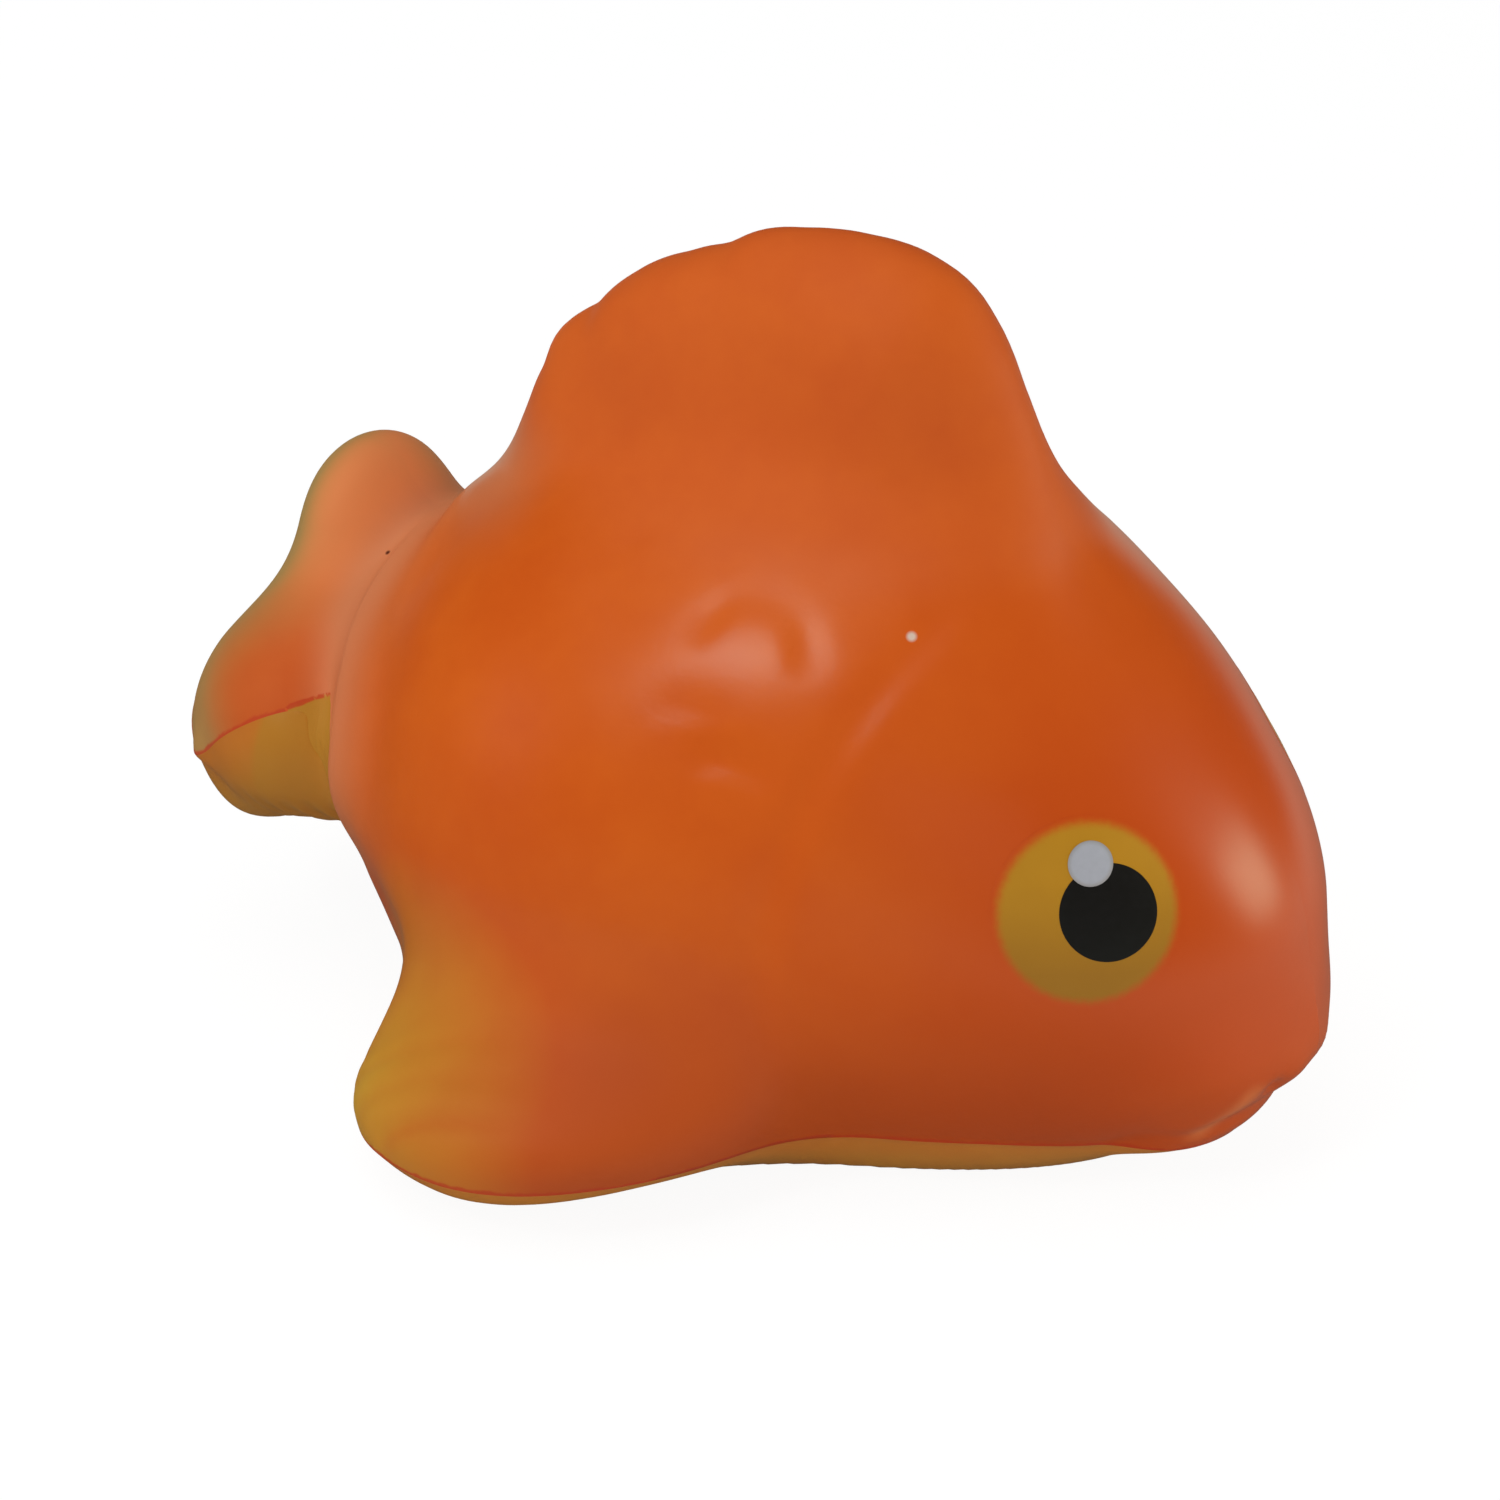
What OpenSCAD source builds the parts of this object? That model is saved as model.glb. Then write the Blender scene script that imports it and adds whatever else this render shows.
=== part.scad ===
// Goldfish stress toy: soft foam poured in one shot between an orange and a yellow coat, with printed eyes.
// X runs from the tail to the snout, Y to the fish's left and Z up. The origin is on the floor under its middle.
// The form is a set of egg-shaped masses blended into one another, as a modeller builds up clay.

/* [Trunk] */
// Length of the trunk's egg
trunk_len = 71; // [60:0.5:86]
// Width of the trunk's egg
trunk_wid = 66.5; // [55:0.5:80]
// Height of the trunk's egg, before the belly is cut flat by the floor
trunk_hgt = 67.5; // [58:0.5:80]
// Height of the trunk's middle above the floor
trunk_rise = 20; // [16:0.5:26]
// How far the trunk tips down at the front, in degrees
trunk_tip = 10; // [0:1:16]

/* [Head] */
// Length of the head's egg
head_len = 54.5; // [46:0.5:68]
// Width of the head's egg
head_wid = 46.5; // [38:0.5:56]
// Height of the head's egg
head_hgt = 47.5; // [39:0.5:57]
// How far the head's middle lies behind the front of the trunk
head_lap = 10; // [6:0.5:14]
// Height of the head's middle above the floor
head_rise = 19; // [15:0.5:22]
// How far the head tips down at the front, in degrees
head_tip = 9; // [0:0.5:14]
// Size of the fillet between head and trunk
head_fillet = 13; // [8:0.5:18]
// Length of the nape, the hump between head and back fin
nape_len = 40; // [32:0.5:46]
// Width of the nape
nape_wid = 36.5; // [30:0.5:43]
// Height of the nape's egg
nape_hgt = 29.5; // [25:0.5:36]
// How far the nape's middle lies behind the head's
nape_back = 8.5; // [6:0.5:13]
// How far the nape's middle lies below the top of the trunk
nape_drop = 17.5; // [14:0.5:21]
// How far the nape slopes down to the front, in degrees
nape_tip = 24.5; // [18:0.5:34]
// Size of the fillet round the nape
nape_fillet = 12; // [8:0.5:16]

/* [Mouth] */
// Length of the upper lip's egg
lip_len = 20.5; // [16:0.5:25]
// Width of the upper lip
lip_wid = 24; // [20:0.5:29]
// Height of the upper lip's egg
lip_hgt = 12.5; // [12:0.5:18]
// How far the upper lip stands in front of the head's egg
lip_out = 1.6; // [0:0.1:2]
// Height of the upper lip's middle above the floor
lip_rise = 12; // [11:0.5:16]
// Size of the fillet between the upper lip and the head
lip_fillet = 5; // [4:0.5:9]
// Length of the lower jaw's egg
jaw_len = 19.5; // [16:0.5:24]
// Width of the lower jaw
jaw_wid = 25; // [21:0.5:31]
// Height of the lower jaw's egg
jaw_hgt = 8.5; // [8:0.5:11.5]
// How far the lower jaw stands back from the front of the head's egg
jaw_back = 2.3; // [1.5:0.1:4]
// Height of the lower jaw's middle above the floor
jaw_rise = 5; // [3.5:0.5:5.5]
// Size of the fillet in the crease of the mouth
mouth_fillet = 1.5; // [1:0.5:4]

/* [Back fin] */
// Length of the back fin's front lobe
crest_len = 38; // [31:0.5:46]
// Thickness of the front lobe
crest_thk = 17; // [14:0.5:20]
// Height of the front lobe's egg
crest_hgt = 42; // [35:0.5:50]
// How far the front lobe stands above the trunk
crest_stand = 20; // [16:0.5:25]
// How far the front lobe's middle lies in front of the trunk's
crest_fwd = 8; // [4:0.5:12]
// How far the front lobe leans forward, in degrees
crest_tip = 5.5; // [0:0.5:12]
// Size of the fillet at the foot of the back fin
crest_fillet = 10; // [7:0.5:13]
// Length of the small lobe that squares off the fin's front corner
cowl_len = 21.5; // [18:0.5:26]
// Thickness of the corner's lobe
cowl_thk = 14; // [11.5:0.5:17]
// Height of the corner's lobe
cowl_hgt = 24; // [20:0.5:29]
// How far the corner's lobe stands above the trunk
cowl_stand = 18.5; // [15:0.5:22]
// How far the corner's lobe lies in front of the front lobe's middle
cowl_fwd = 4; // [1:0.5:8]
// Length of the back fin's middle lobe
ridge_len = 25.5; // [21:0.5:30]
// Thickness of the middle lobe
ridge_thk = 14.5; // [12:0.5:17.5]
// Height of the middle lobe's egg
ridge_hgt = 24; // [20:0.5:29.5]
// How far the middle lobe stands above the trunk
ridge_stand = 14; // [11:0.5:17]
// How far the middle lobe's middle lies behind the trunk's
ridge_back = 5; // [2:0.5:8]
// How far the middle lobe leans back, in degrees
ridge_tip = 5; // [0:1:12]
// Length of the back fin's rear lobe
heel_len = 19; // [16:0.5:23]
// Thickness of the rear lobe
heel_thk = 15; // [12:0.5:18]
// Height of the rear lobe's egg
heel_hgt = 21; // [17.5:0.5:25]
// How far the rear lobe stands above the trunk
heel_stand = 5.4; // [3:0.1:8]
// How far the rear lobe's middle lies behind the trunk's
heel_back = 13; // [10:0.5:17]
// How far the rear lobe leans back, in degrees
heel_tip = 19; // [10:1:26]
// Size of the fillets between the lobes, which leave soft steps in the fin's edge
lobe_fillet = 4; // [2:0.5:7]

/* [Side fins] */
// Length of a side fin
side_len = 35; // [29:0.5:42]
// Width of a side fin's egg, from inside the trunk to its edge
side_wid = 27; // [22:0.5:32.5]
// Thickness of a side fin
side_thk = 14.5; // [12:0.5:17.5]
// How far a side fin's middle lies inside the trunk's widest line
side_lap = 0.7; // [0:0.1:3]
// How far a side fin's middle lies in front of the trunk's
side_fwd = 0.5; // [-4:0.5:5]
// Depth of the flat that the floor cuts under a side fin
side_cut = 0.5; // [0.2:0.1:1]
// How far a side fin is swept back, in degrees
side_sweep = 17; // [5:1:25]
// How far a side fin's front edge is raised, in degrees
side_lift = 8; // [0:1:14]
// Size of the fillet at the root of a side fin
side_fillet = 9.5; // [6:0.5:13]

/* [Tail] */
// Length of the tail's upright middle lobe
stalk_len = 13; // [11:0.5:16]
// Width of the middle lobe
stalk_wid = 20.5; // [17:0.5:25]
// Height of the middle lobe
stalk_hgt = 24; // [20:0.5:29]
// How far the middle lobe lies behind the trunk
stalk_back = 4.7; // [2:0.1:7]
// Height of the middle lobe's middle above the floor
stalk_rise = 32; // [28:0.5:36]
// Size of the fillet at the root of the tail
stalk_fillet = 8.5; // [6:0.5:11]
// Length of a side lobe of the tail
fan_len = 22; // [18:0.5:26.5]
// Width of a side lobe
fan_wid = 26; // [21.5:0.5:31]
// Thickness of a side lobe
fan_thk = 19.5; // [16:0.5:23.5]
// How far a side lobe's middle lies in front of the middle lobe's
fan_fwd = 2; // [-1:0.5:4]
// How far a side lobe's middle lies out from the mid-plane
fan_out = 11.5; // [9:0.5:14]
// How far a side lobe's middle lies below the middle lobe's
fan_drop = 9; // [7:0.5:11]
// How far a side lobe is swept back, in degrees
fan_sweep = 20; // [10:1:30]
// Size of the fillet between the lobes of the tail
fan_fillet = 6; // [4:0.5:8]
// Length of the corner at a side lobe's rear edge
corner_len = 10; // [8:0.5:12]
// Width of the corner
corner_wid = 12.5; // [10:0.5:15]
// Thickness of the corner
corner_thk = 12.5; // [10:0.5:15]
// How far the corner lies behind its lobe's middle
corner_back = 5.5; // [4:0.5:7]
// How far the corner lies out from its lobe's middle
corner_out = 2.5; // [1:0.5:4]
// How far the corner lies below its lobe's middle
corner_drop = 5; // [3:0.5:7]
// Size of the fillet between corner and lobe
corner_fillet = 4.5; // [3:0.5:6]

/* [Coats and parting line] */
// Thickness of a coat with the dense foam skin behind it
coat = 1.5; // [1.3:0.1:1.8]
// Height of the parting line at the middle of the tail
seam_tail = 28; // [27:0.5:29]
// How far the parting line droops from there to the tail's corners, in degrees
seam_droop = 17; // [14:0.5:20]
// Height of the parting line at the side fins
seam_side = 4.5; // [3.5:0.1:5.5]
// Height of the parting line under the cheeks
seam_cheek = 6; // [5:0.1:7]
// How far the parting line dips under the chin, in degrees
seam_dip = 9; // [5:0.5:11]

/* [Eyes] */
// Diameter of the yellow iris
iris_d = 14.2; // [11:0.1:17]
// Diameter of the black pupil
pupil_d = 8; // [6:0.1:9.6]
// How far the pupil sits in front of the iris's middle
pupil_fwd = 1.5; // [0:0.1:2]
// Diameter of the white highlight
glint_d = 3.7; // [3:0.1:4.5]
// How far the highlight sits in front of the iris's middle
glint_fwd = 0.2; // [-1:0.1:1]
// How far the highlight sits above the iris's middle
glint_up = 3.9; // [3:0.1:4.7]
// How far an eye's axis crosses the mid-plane in front of the head's middle
eye_fwd = 4; // [2:0.1:6]
// How far an eye looks forward from straight sideways, in degrees
eye_turn = 34; // [25:1:40]
// How far an eye looks up, in degrees
eye_up = 25.5; // [22:0.5:33]
// Thickness of one layer of ink, drawn thick enough to be a solid
ink = 0.2; // [0.15:0.05:0.3]

/* [Hidden] */

// Facet counts: rows round the tail, along the sides and round the snout, and columns in a row, all even.
// The inside of the coats has half as many each way.
tail_rows = 10;
flank_rows = 24;
snout_rows = 10;
columns = 56;
half = columns / 2;
quarter = columns / 4;
last_row = tail_rows + flank_rows + snout_rows;

// Masses: a middle, three half-axes, and the axes' directions

// The directions of the axes after a turn about Z, then a tip of the front downwards
function axes(yaw, tip) =
    let (fwd = [cos(yaw) * cos(tip), sin(yaw) * cos(tip), -sin(tip)], side = [-sin(yaw), cos(yaw), 0])
    [fwd, side, cross(fwd, side)];

function mass(middle, size, yaw = 0, tip = 0) = [middle, size / 2, axes(yaw, tip)];

trunk_top = trunk_rise + trunk_hgt / 2;
head_x = trunk_len / 2 - head_lap;
head_end = head_x + head_len / 2;
stalk_x = -trunk_len / 2 - stalk_back;
fan_x = stalk_x + fan_fwd;
fan_rise = stalk_rise - fan_drop;

trunk = mass([0, 0, trunk_rise], [trunk_len, trunk_wid, trunk_hgt], 0, trunk_tip);
head = mass([head_x, 0, head_rise], [head_len, head_wid, head_hgt], 0, head_tip);
nape = mass([head_x - nape_back, 0, trunk_top - nape_drop], [nape_len, nape_wid, nape_hgt], 0, nape_tip);
lip = mass([head_end + lip_out - lip_len / 2, 0, lip_rise], [lip_len, lip_wid, lip_hgt]);
jaw = mass([head_end - jaw_back - jaw_len / 2, 0, jaw_rise], [jaw_len, jaw_wid, jaw_hgt]);
crest = mass([crest_fwd, 0, trunk_top + crest_stand - crest_hgt / 2],
             [crest_len, crest_thk, crest_hgt], 0, crest_tip);
cowl = mass([crest_fwd + cowl_fwd, 0, trunk_top + cowl_stand - cowl_hgt / 2],
            [cowl_len, cowl_thk, cowl_hgt], 0, crest_tip);
ridge = mass([-ridge_back, 0, trunk_top + ridge_stand - ridge_hgt / 2],
             [ridge_len, ridge_thk, ridge_hgt], 0, -ridge_tip);
heel = mass([-heel_back, 0, trunk_top + heel_stand - heel_hgt / 2],
            [heel_len, heel_thk, heel_hgt], 0, -heel_tip);
side_fin = mass([side_fwd, trunk_wid / 2 - side_lap, side_thk / 2 - side_cut],
                [side_len, side_wid, side_thk], -side_sweep, -side_lift);
stalk = mass([stalk_x, 0, stalk_rise], [stalk_len, stalk_wid, stalk_hgt]);
fan = mass([fan_x, fan_out, fan_rise], [fan_len, fan_wid, fan_thk], -fan_sweep);
corner = mass([fan_x - corner_back, fan_out + corner_out, fan_rise - corner_drop],
              [corner_len, corner_wid, corner_thk], -fan_sweep);

// The masses in the order they are pressed on, each with the fillet to what is there already.
// The side fins, fans and corners stand for both sides, because points are mirrored to the left first.
sculpt = [[trunk, 1], [head, head_fillet], [nape, nape_fillet], [lip, lip_fillet], [jaw, mouth_fillet],
          [crest, crest_fillet], [cowl, lobe_fillet], [ridge, lobe_fillet], [heel, lobe_fillet],
          [side_fin, side_fillet], [stalk, stalk_fillet], [fan, fan_fillet], [corner, corner_fillet]];

// How far a point lies outside a mass, nearly exact close to its surface and negative inside it
function outside(p, m) =
    let (q = m[2] * (p - m[0]), r = m[1],
         s = [q.x / r.x, q.y / r.y, q.z / r.z],
         slope = norm([s.x / r.x, s.y / r.y, s.z / r.z]))
    slope < 1e-6 ? -min(r) : norm(s) * (norm(s) - 1) / slope;

// Two such distances joined with a fillet of the given size
function fillet(a, b, size) =
    let (near = max(size - abs(a - b), 0) / size)
    min(a, b) - near * near * size / 4;

far = 1000;
function form(p, i = 0, d = far) =
    i == len(sculpt) ? d : form(p, i + 1, fillet(d, outside(p, sculpt[i][0]), sculpt[i][1]));

// How far along a ray from inside it leaves the form for the last time, at a depth under the surface.
// The search comes in from outside, in steps a little shorter than the distance that is left.
reach = trunk_len / 2 + trunk_wid + head_len;
exact = 0.004;
step = 0.85;
function leave(from, dir, depth, t = reach) =
    let (p = from + t * dir, d = form([p.x, abs(p.y), p.z]) + depth)
    abs(d) < exact ? t : leave(from, dir, depth, t - step * d);

// Rays: they start on a spine in the mid-plane, at the parting line's height, and fan out at both ends

tail_hub = stalk_x + fan_fwd / 2;
snout_hub = head_x + head_lap / 6;

// Share of the spine at a row of the flanks, with the rows closest together behind the side fins
function share(i) = lookup(i / flank_rows, [[0, 0], [0.25, 0.25], [0.65, 0.5], [1, 1]]);

// Lean of the rays from straight back: forward round the tail, backward to the side fins, forward to the snout
tail_lean = 104;
snout_lean = 108;
function lean(f) =
    lookup(f, [[0, tail_lean], [0.08, 100], [0.2, 90], [0.37, 84], [0.6, 88], [1, snout_lean]]);

// Droop of the parting line at a lean: full round the tail's corners, none where the tail meets the body
function droop(a) = seam_droop * lookup(a, [[0, 1], [78, 1], [100, 0]]);

// One entry for each row: where it starts on the spine, its lean, its dip under the chin and its droop
rows = [
    for (i = [0:tail_rows - 1])
        let (a = tail_lean * i / tail_rows) [tail_hub, a, 0, droop(a)],
    for (i = [0:flank_rows])
        let (f = share(i)) [tail_hub + f * (snout_hub - tail_hub), lean(f), 0, 0],
    for (i = [1:snout_rows])
        let (f = i / snout_rows) [snout_hub, snout_lean + f * (180 - snout_lean), seam_dip * f, 0]];

// Height of the spine, which falls steeply between tail and body.
// The rays to the back fin start higher by the hoist.
seam_run = 26;
hoist = 18;
hoist_run = 12;
function fall(run) = lookup(run, [[0, 1], [4.5, 1], [6.75, 0.62], [9.5, 0.23], [17, 0.08], [seam_run, 0]]);
function spine_z(x) =
    x < tail_hub + seam_run ? seam_side + (seam_tail - seam_side) * fall(x - tail_hub)
    : lookup(x, [[tail_hub + seam_run, seam_side], [snout_hub, seam_cheek]]);
function hoist_z(x) = lookup(x, [[tail_hub, 0], [tail_hub + hoist_run, hoist]]);

// Turn of a column from the left over the top, closest together at the side fins and the back fin
function rise(column) = lookup(column / quarter, [[0, 0], [4 / 14, 16], [9 / 14, 60], [1, 90]]);
function turn_of(column, sag) =
    let (c = column % columns, t = c <= quarter ? rise(c) : c <= half ? 180 - rise(half - c) : 180 * c / half)
    t <= 180 ? t + sag * (t - 90) / 90 : t - sag * (t - 270) / 90;

// The form's ends in X, which put the origin under its middle
function end_x(m, way) =
    m[0].x + way * norm([m[2][0].x * m[1].x, m[2][1].x * m[1].y, m[2][2].x * m[1].z]);
middle_x = (max(end_x(lip, 1), end_x(head, 1)) + min(end_x(corner, -1), end_x(fan, -1))) / 2;

// A point of the form on a row and a column, at a depth. Columns run from the left over the top.
// The floor cuts the belly flat.
function point(row, column, depth) =
    let (x = rows[row][0], a = rows[row][1], dip = rows[row][2], turn = turn_of(column, rows[row][3]),
         flat = [-cos(a), sin(a) * cos(turn), sin(a) * sin(turn)],
         dir = [flat.x * cos(dip) + flat.z * sin(dip), flat.y, flat.z * cos(dip) - flat.x * sin(dip)],
         from = [x, 0, spine_z(x) + hoist_z(x) * sin(a) * max(sin(turn), 0)],
         floor_t = dir.z < -exact ? (from.z - max(depth, 0)) / -dir.z : reach)
    from + min(leave(from, dir, depth), floor_t) * dir - [middle_x, 0, 0];

// Sheets of facets

// A rectangle of points between two rows and two columns, at a depth
function sheet(row_from, row_to, row_step, col_from, col_to, col_step, depth) =
    [for (i = [row_from:row_step:row_to]) [for (j = [col_from:col_step:col_to]) point(i, j, depth)]];

function flat_list(lists) = [for (l = lists) each l];

// Two triangles of a square of points, split the same way on the left and right of the mid-plane
function square(a, b, c, d, left) = left ? [[a, d, b], [b, d, c]] : [[a, c, b], [a, d, c]];

// Facets of a rectangle of points that starts at an index, seen from outside
function facets(row_n, col_n, first, left_n) =
    [for (i = [0:row_n - 2], j = [0:col_n - 2])
        let (a = first + i * col_n + j)
        each square(a, a + 1, a + col_n + 1, a + col_n, j < left_n)];

// The same with a closing point at each end, first and first + 1, before the rectangle's own points
function closed_facets(row_n, col_n, first, left_n) =
    let (grid = first + 2, end_row = grid + (row_n - 1) * col_n)
    concat(facets(row_n, col_n, grid, left_n),
           [for (j = [0:col_n - 2]) [first, grid + j, grid + j + 1]],
           [for (j = [0:col_n - 2]) [end_row + j, first + 1, end_row + j + 1]]);

function flipped(faces) = [for (f = faces) [f[2], f[1], f[0]]];

// The edge of such a sheet, as a loop from the tail's point to the snout's and back
function edge_loop(row_n, col_n, first) =
    concat([first], [for (i = [0:row_n - 1]) first + 2 + i * col_n],
           [first + 1], [for (i = [row_n - 1:-1:0]) first + 1 + (i + 1) * col_n]);

// The rim between an edge and one of half as many points behind it
function rim(fine, coarse) =
    [for (k = [0:len(coarse) - 1])
        let (a = fine[2 * k], b = fine[2 * k + 1], c = fine[(2 * k + 2) % len(fine)],
             d = coarse[k], e = coarse[(k + 1) % len(coarse)])
        each [[a, d, b], [b, d, e], [b, e, c]]];

// A coat: half the form's surface from the given column on, its inside, and the rim at the parting line
module coat_shell(column) {
    out_rows = last_row - 1;
    out_cols = half + 1;
    in_rows = last_row / 2 - 1;
    in_cols = quarter + 1;
    in_first = 2 + out_rows * out_cols;
    points = concat(
        [point(0, column, 0), point(last_row, column, 0)],
        flat_list(sheet(1, last_row - 1, 1, column, column + half, 1, 0)),
        [point(0, column, coat), point(last_row, column, coat)],
        flat_list(sheet(2, last_row - 2, 2, column, column + half, 2, coat)));
    polyhedron(points, concat(
        closed_facets(out_rows, out_cols, 0, quarter),
        flipped(closed_facets(in_rows, in_cols, in_first, quarter / 2)),
        rim(edge_loop(out_rows, out_cols, 0), edge_loop(in_rows, in_cols, in_first))));
}

// The foam that fills both coats
module foam_core() {
    in_rows = last_row / 2 - 1;
    in_cols = quarter + 1;
    lower = 2 + in_rows * in_cols;
    top = flat_list(sheet(2, last_row - 2, 2, 0, half, 2, coat));
    bottom = flat_list(sheet(2, last_row - 2, 2, half, columns, 2, coat));
    ends = [point(0, 0, coat), point(last_row, 0, coat)];
    color("navajowhite") polyhedron(
        concat(ends, top, ends, bottom),
        concat(closed_facets(in_rows, in_cols, 0, quarter / 2),
               closed_facets(in_rows, in_cols, lower, quarter / 2)));
}

// Orange coat of the upper mould half
module back_skin() {
    color("darkorange") coat_shell(0);
}

// Yellow coat of the lower mould half
module belly_skin() {
    color("goldenrod") coat_shell(half);
}

// Printed eyes

// The right eye's axis, the place where it leaves the head, and the directions forward and up on the print
eye_dir = [sin(eye_turn) * cos(eye_up), -cos(eye_turn) * cos(eye_up), sin(eye_up)];
eye_root = head[0] + [eye_fwd, 0, 0];
function eye_place() = eye_root + leave(eye_root, eye_dir, 0) * eye_dir - [middle_x, 0, 0];
eye_ahead = [cos(eye_turn), sin(eye_turn), 0];
eye_above = cross(eye_dir, eye_ahead);

// A round punch along the right eye's axis, moved forward and up on the print
module punch(d, ahead, above) {
    depth = iris_d;
    multmatrix([for (k = [0:2]) [eye_ahead[k], eye_above[k], eye_dir[k],
        (eye_place() + ahead * eye_ahead + above * eye_above)[k]]])
        translate([0, 0, -depth / 2]) cylinder(d = d, h = depth, $fn = 64);
}

// A layer of ink that follows the back's own facets round the right eye, on top of a number of other layers
module ink_layer(under) {
    place = eye_place();
    edge = iris_d / 2 + 1;
    near = [for (i = [tail_rows:last_row - 1], j = [quarter:half])
        if (norm(cross(point(i, j, 0) - place, eye_dir)) < edge) [i, j]];
    row_a = min([for (n = near) n[0]]) - 1;
    row_b = min(max([for (n = near) n[0]]) + 1, last_row - 1);
    col_a = max(min([for (n = near) n[1]]) - 1, quarter);
    col_b = min(max([for (n = near) n[1]]) + 1, half);
    row_n = row_b - row_a + 1;
    col_n = col_b - col_a + 1;
    upper = row_n * col_n;
    loop = concat([for (i = [0:row_n - 2]) i * col_n], [for (j = [0:col_n - 2]) (row_n - 1) * col_n + j],
                  [for (i = [row_n - 1:-1:1]) i * col_n + col_n - 1], [for (j = [col_n - 1:-1:1]) j]);
    polyhedron(
        concat(flat_list(sheet(row_a, row_b, 1, col_a, col_b, 1, -under * ink)),
               flat_list(sheet(row_a, row_b, 1, col_a, col_b, 1, -(under + 1) * ink))),
        concat(flipped(facets(row_n, col_n, 0, 0)), facets(row_n, col_n, upper, 0),
               [for (k = [0:len(loop) - 1])
                   let (a = loop[k], b = loop[(k + 1) % len(loop)])
                   each [[a, a + upper, b], [b, a + upper, b + upper]]]));
}

module iris_print() {
    intersection() {
        ink_layer(0);
        punch(iris_d, 0, 0);
    }
}

// The pupil is printed on the iris and leaves out the highlight's disc
module pupil_print() {
    intersection() {
        ink_layer(1);
        difference() {
            punch(pupil_d, pupil_fwd, 0);
            punch(glint_d, glint_fwd, glint_up);
        }
    }
}

module glint_print() {
    intersection() {
        ink_layer(1);
        punch(glint_d, glint_fwd, glint_up);
    }
}

module right_iris() {
    color("goldenrod") iris_print();
}

module right_pupil() {
    color("black") pupil_print();
}

module right_highlight() {
    color("white") glint_print();
}

module left_iris() {
    color("goldenrod") mirror([0, 1, 0]) iris_print();
}

module left_pupil() {
    color("black") mirror([0, 1, 0]) pupil_print();
}

module left_highlight() {
    color("white") mirror([0, 1, 0]) glint_print();
}

foam_core();
back_skin();
belly_skin();
right_iris();
right_pupil();
right_highlight();
left_iris();
left_pupil();
left_highlight();
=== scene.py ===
"""Goldfish stress toy: its looks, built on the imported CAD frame."""

import math

import bpy
import numpy as np
from mathutils import Matrix, Vector
from mathutils.kdtree import KDTree


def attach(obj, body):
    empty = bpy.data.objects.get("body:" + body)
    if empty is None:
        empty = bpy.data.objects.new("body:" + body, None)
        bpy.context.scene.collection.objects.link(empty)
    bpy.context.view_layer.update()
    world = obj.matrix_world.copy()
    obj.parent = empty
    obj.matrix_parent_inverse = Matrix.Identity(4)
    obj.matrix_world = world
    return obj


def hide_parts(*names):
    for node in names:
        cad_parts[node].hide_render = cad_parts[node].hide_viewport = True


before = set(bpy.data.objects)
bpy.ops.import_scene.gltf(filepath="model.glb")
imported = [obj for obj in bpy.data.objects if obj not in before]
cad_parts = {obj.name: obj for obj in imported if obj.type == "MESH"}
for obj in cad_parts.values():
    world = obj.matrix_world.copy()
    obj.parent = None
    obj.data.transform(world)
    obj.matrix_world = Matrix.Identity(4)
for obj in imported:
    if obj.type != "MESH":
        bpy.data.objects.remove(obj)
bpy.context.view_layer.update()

# Foam core
# The real core is slow-recovery polyurethane foam, poured in one shot into the closed mould.
# It fills body, fins and tail in one piece, and the two coats that lined the mould hold it shut in.
MM = 0.001
SAME_PLACE = 0.001 * MM
ON_CORE = 0.01 * MM
CORE_ROOM = 0.12 * MM
CORE_LEVELS = 2
FOAM_CELL = 0.5 * MM
# Darker cream painted down in the foam's pits as their shade.
FOAM_PIT_SHADE = "#C9A468"
FOAM_WALL = "#E9D3A4"


def hold(piece):
    """Makes the piece the only thing selected, and the active one."""
    bpy.ops.object.select_all(action="DESELECT")
    piece.select_set(True)
    bpy.context.view_layer.objects.active = piece


def apply_modifier(piece, kind, **settings):
    """Adds a modifier to the piece with its settings and applies it."""
    hold(piece)
    modifier = piece.modifiers.new(kind.lower(), kind)
    for key, value in settings.items():
        setattr(modifier, key, value)
    bpy.ops.object.modifier_apply(modifier=modifier.name)


def finder_of(places):
    """A search tree over places."""
    finder = KDTree(len(places))
    for number, place in enumerate(places):
        finder.insert(place, number)
    finder.balance()
    return finder


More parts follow.
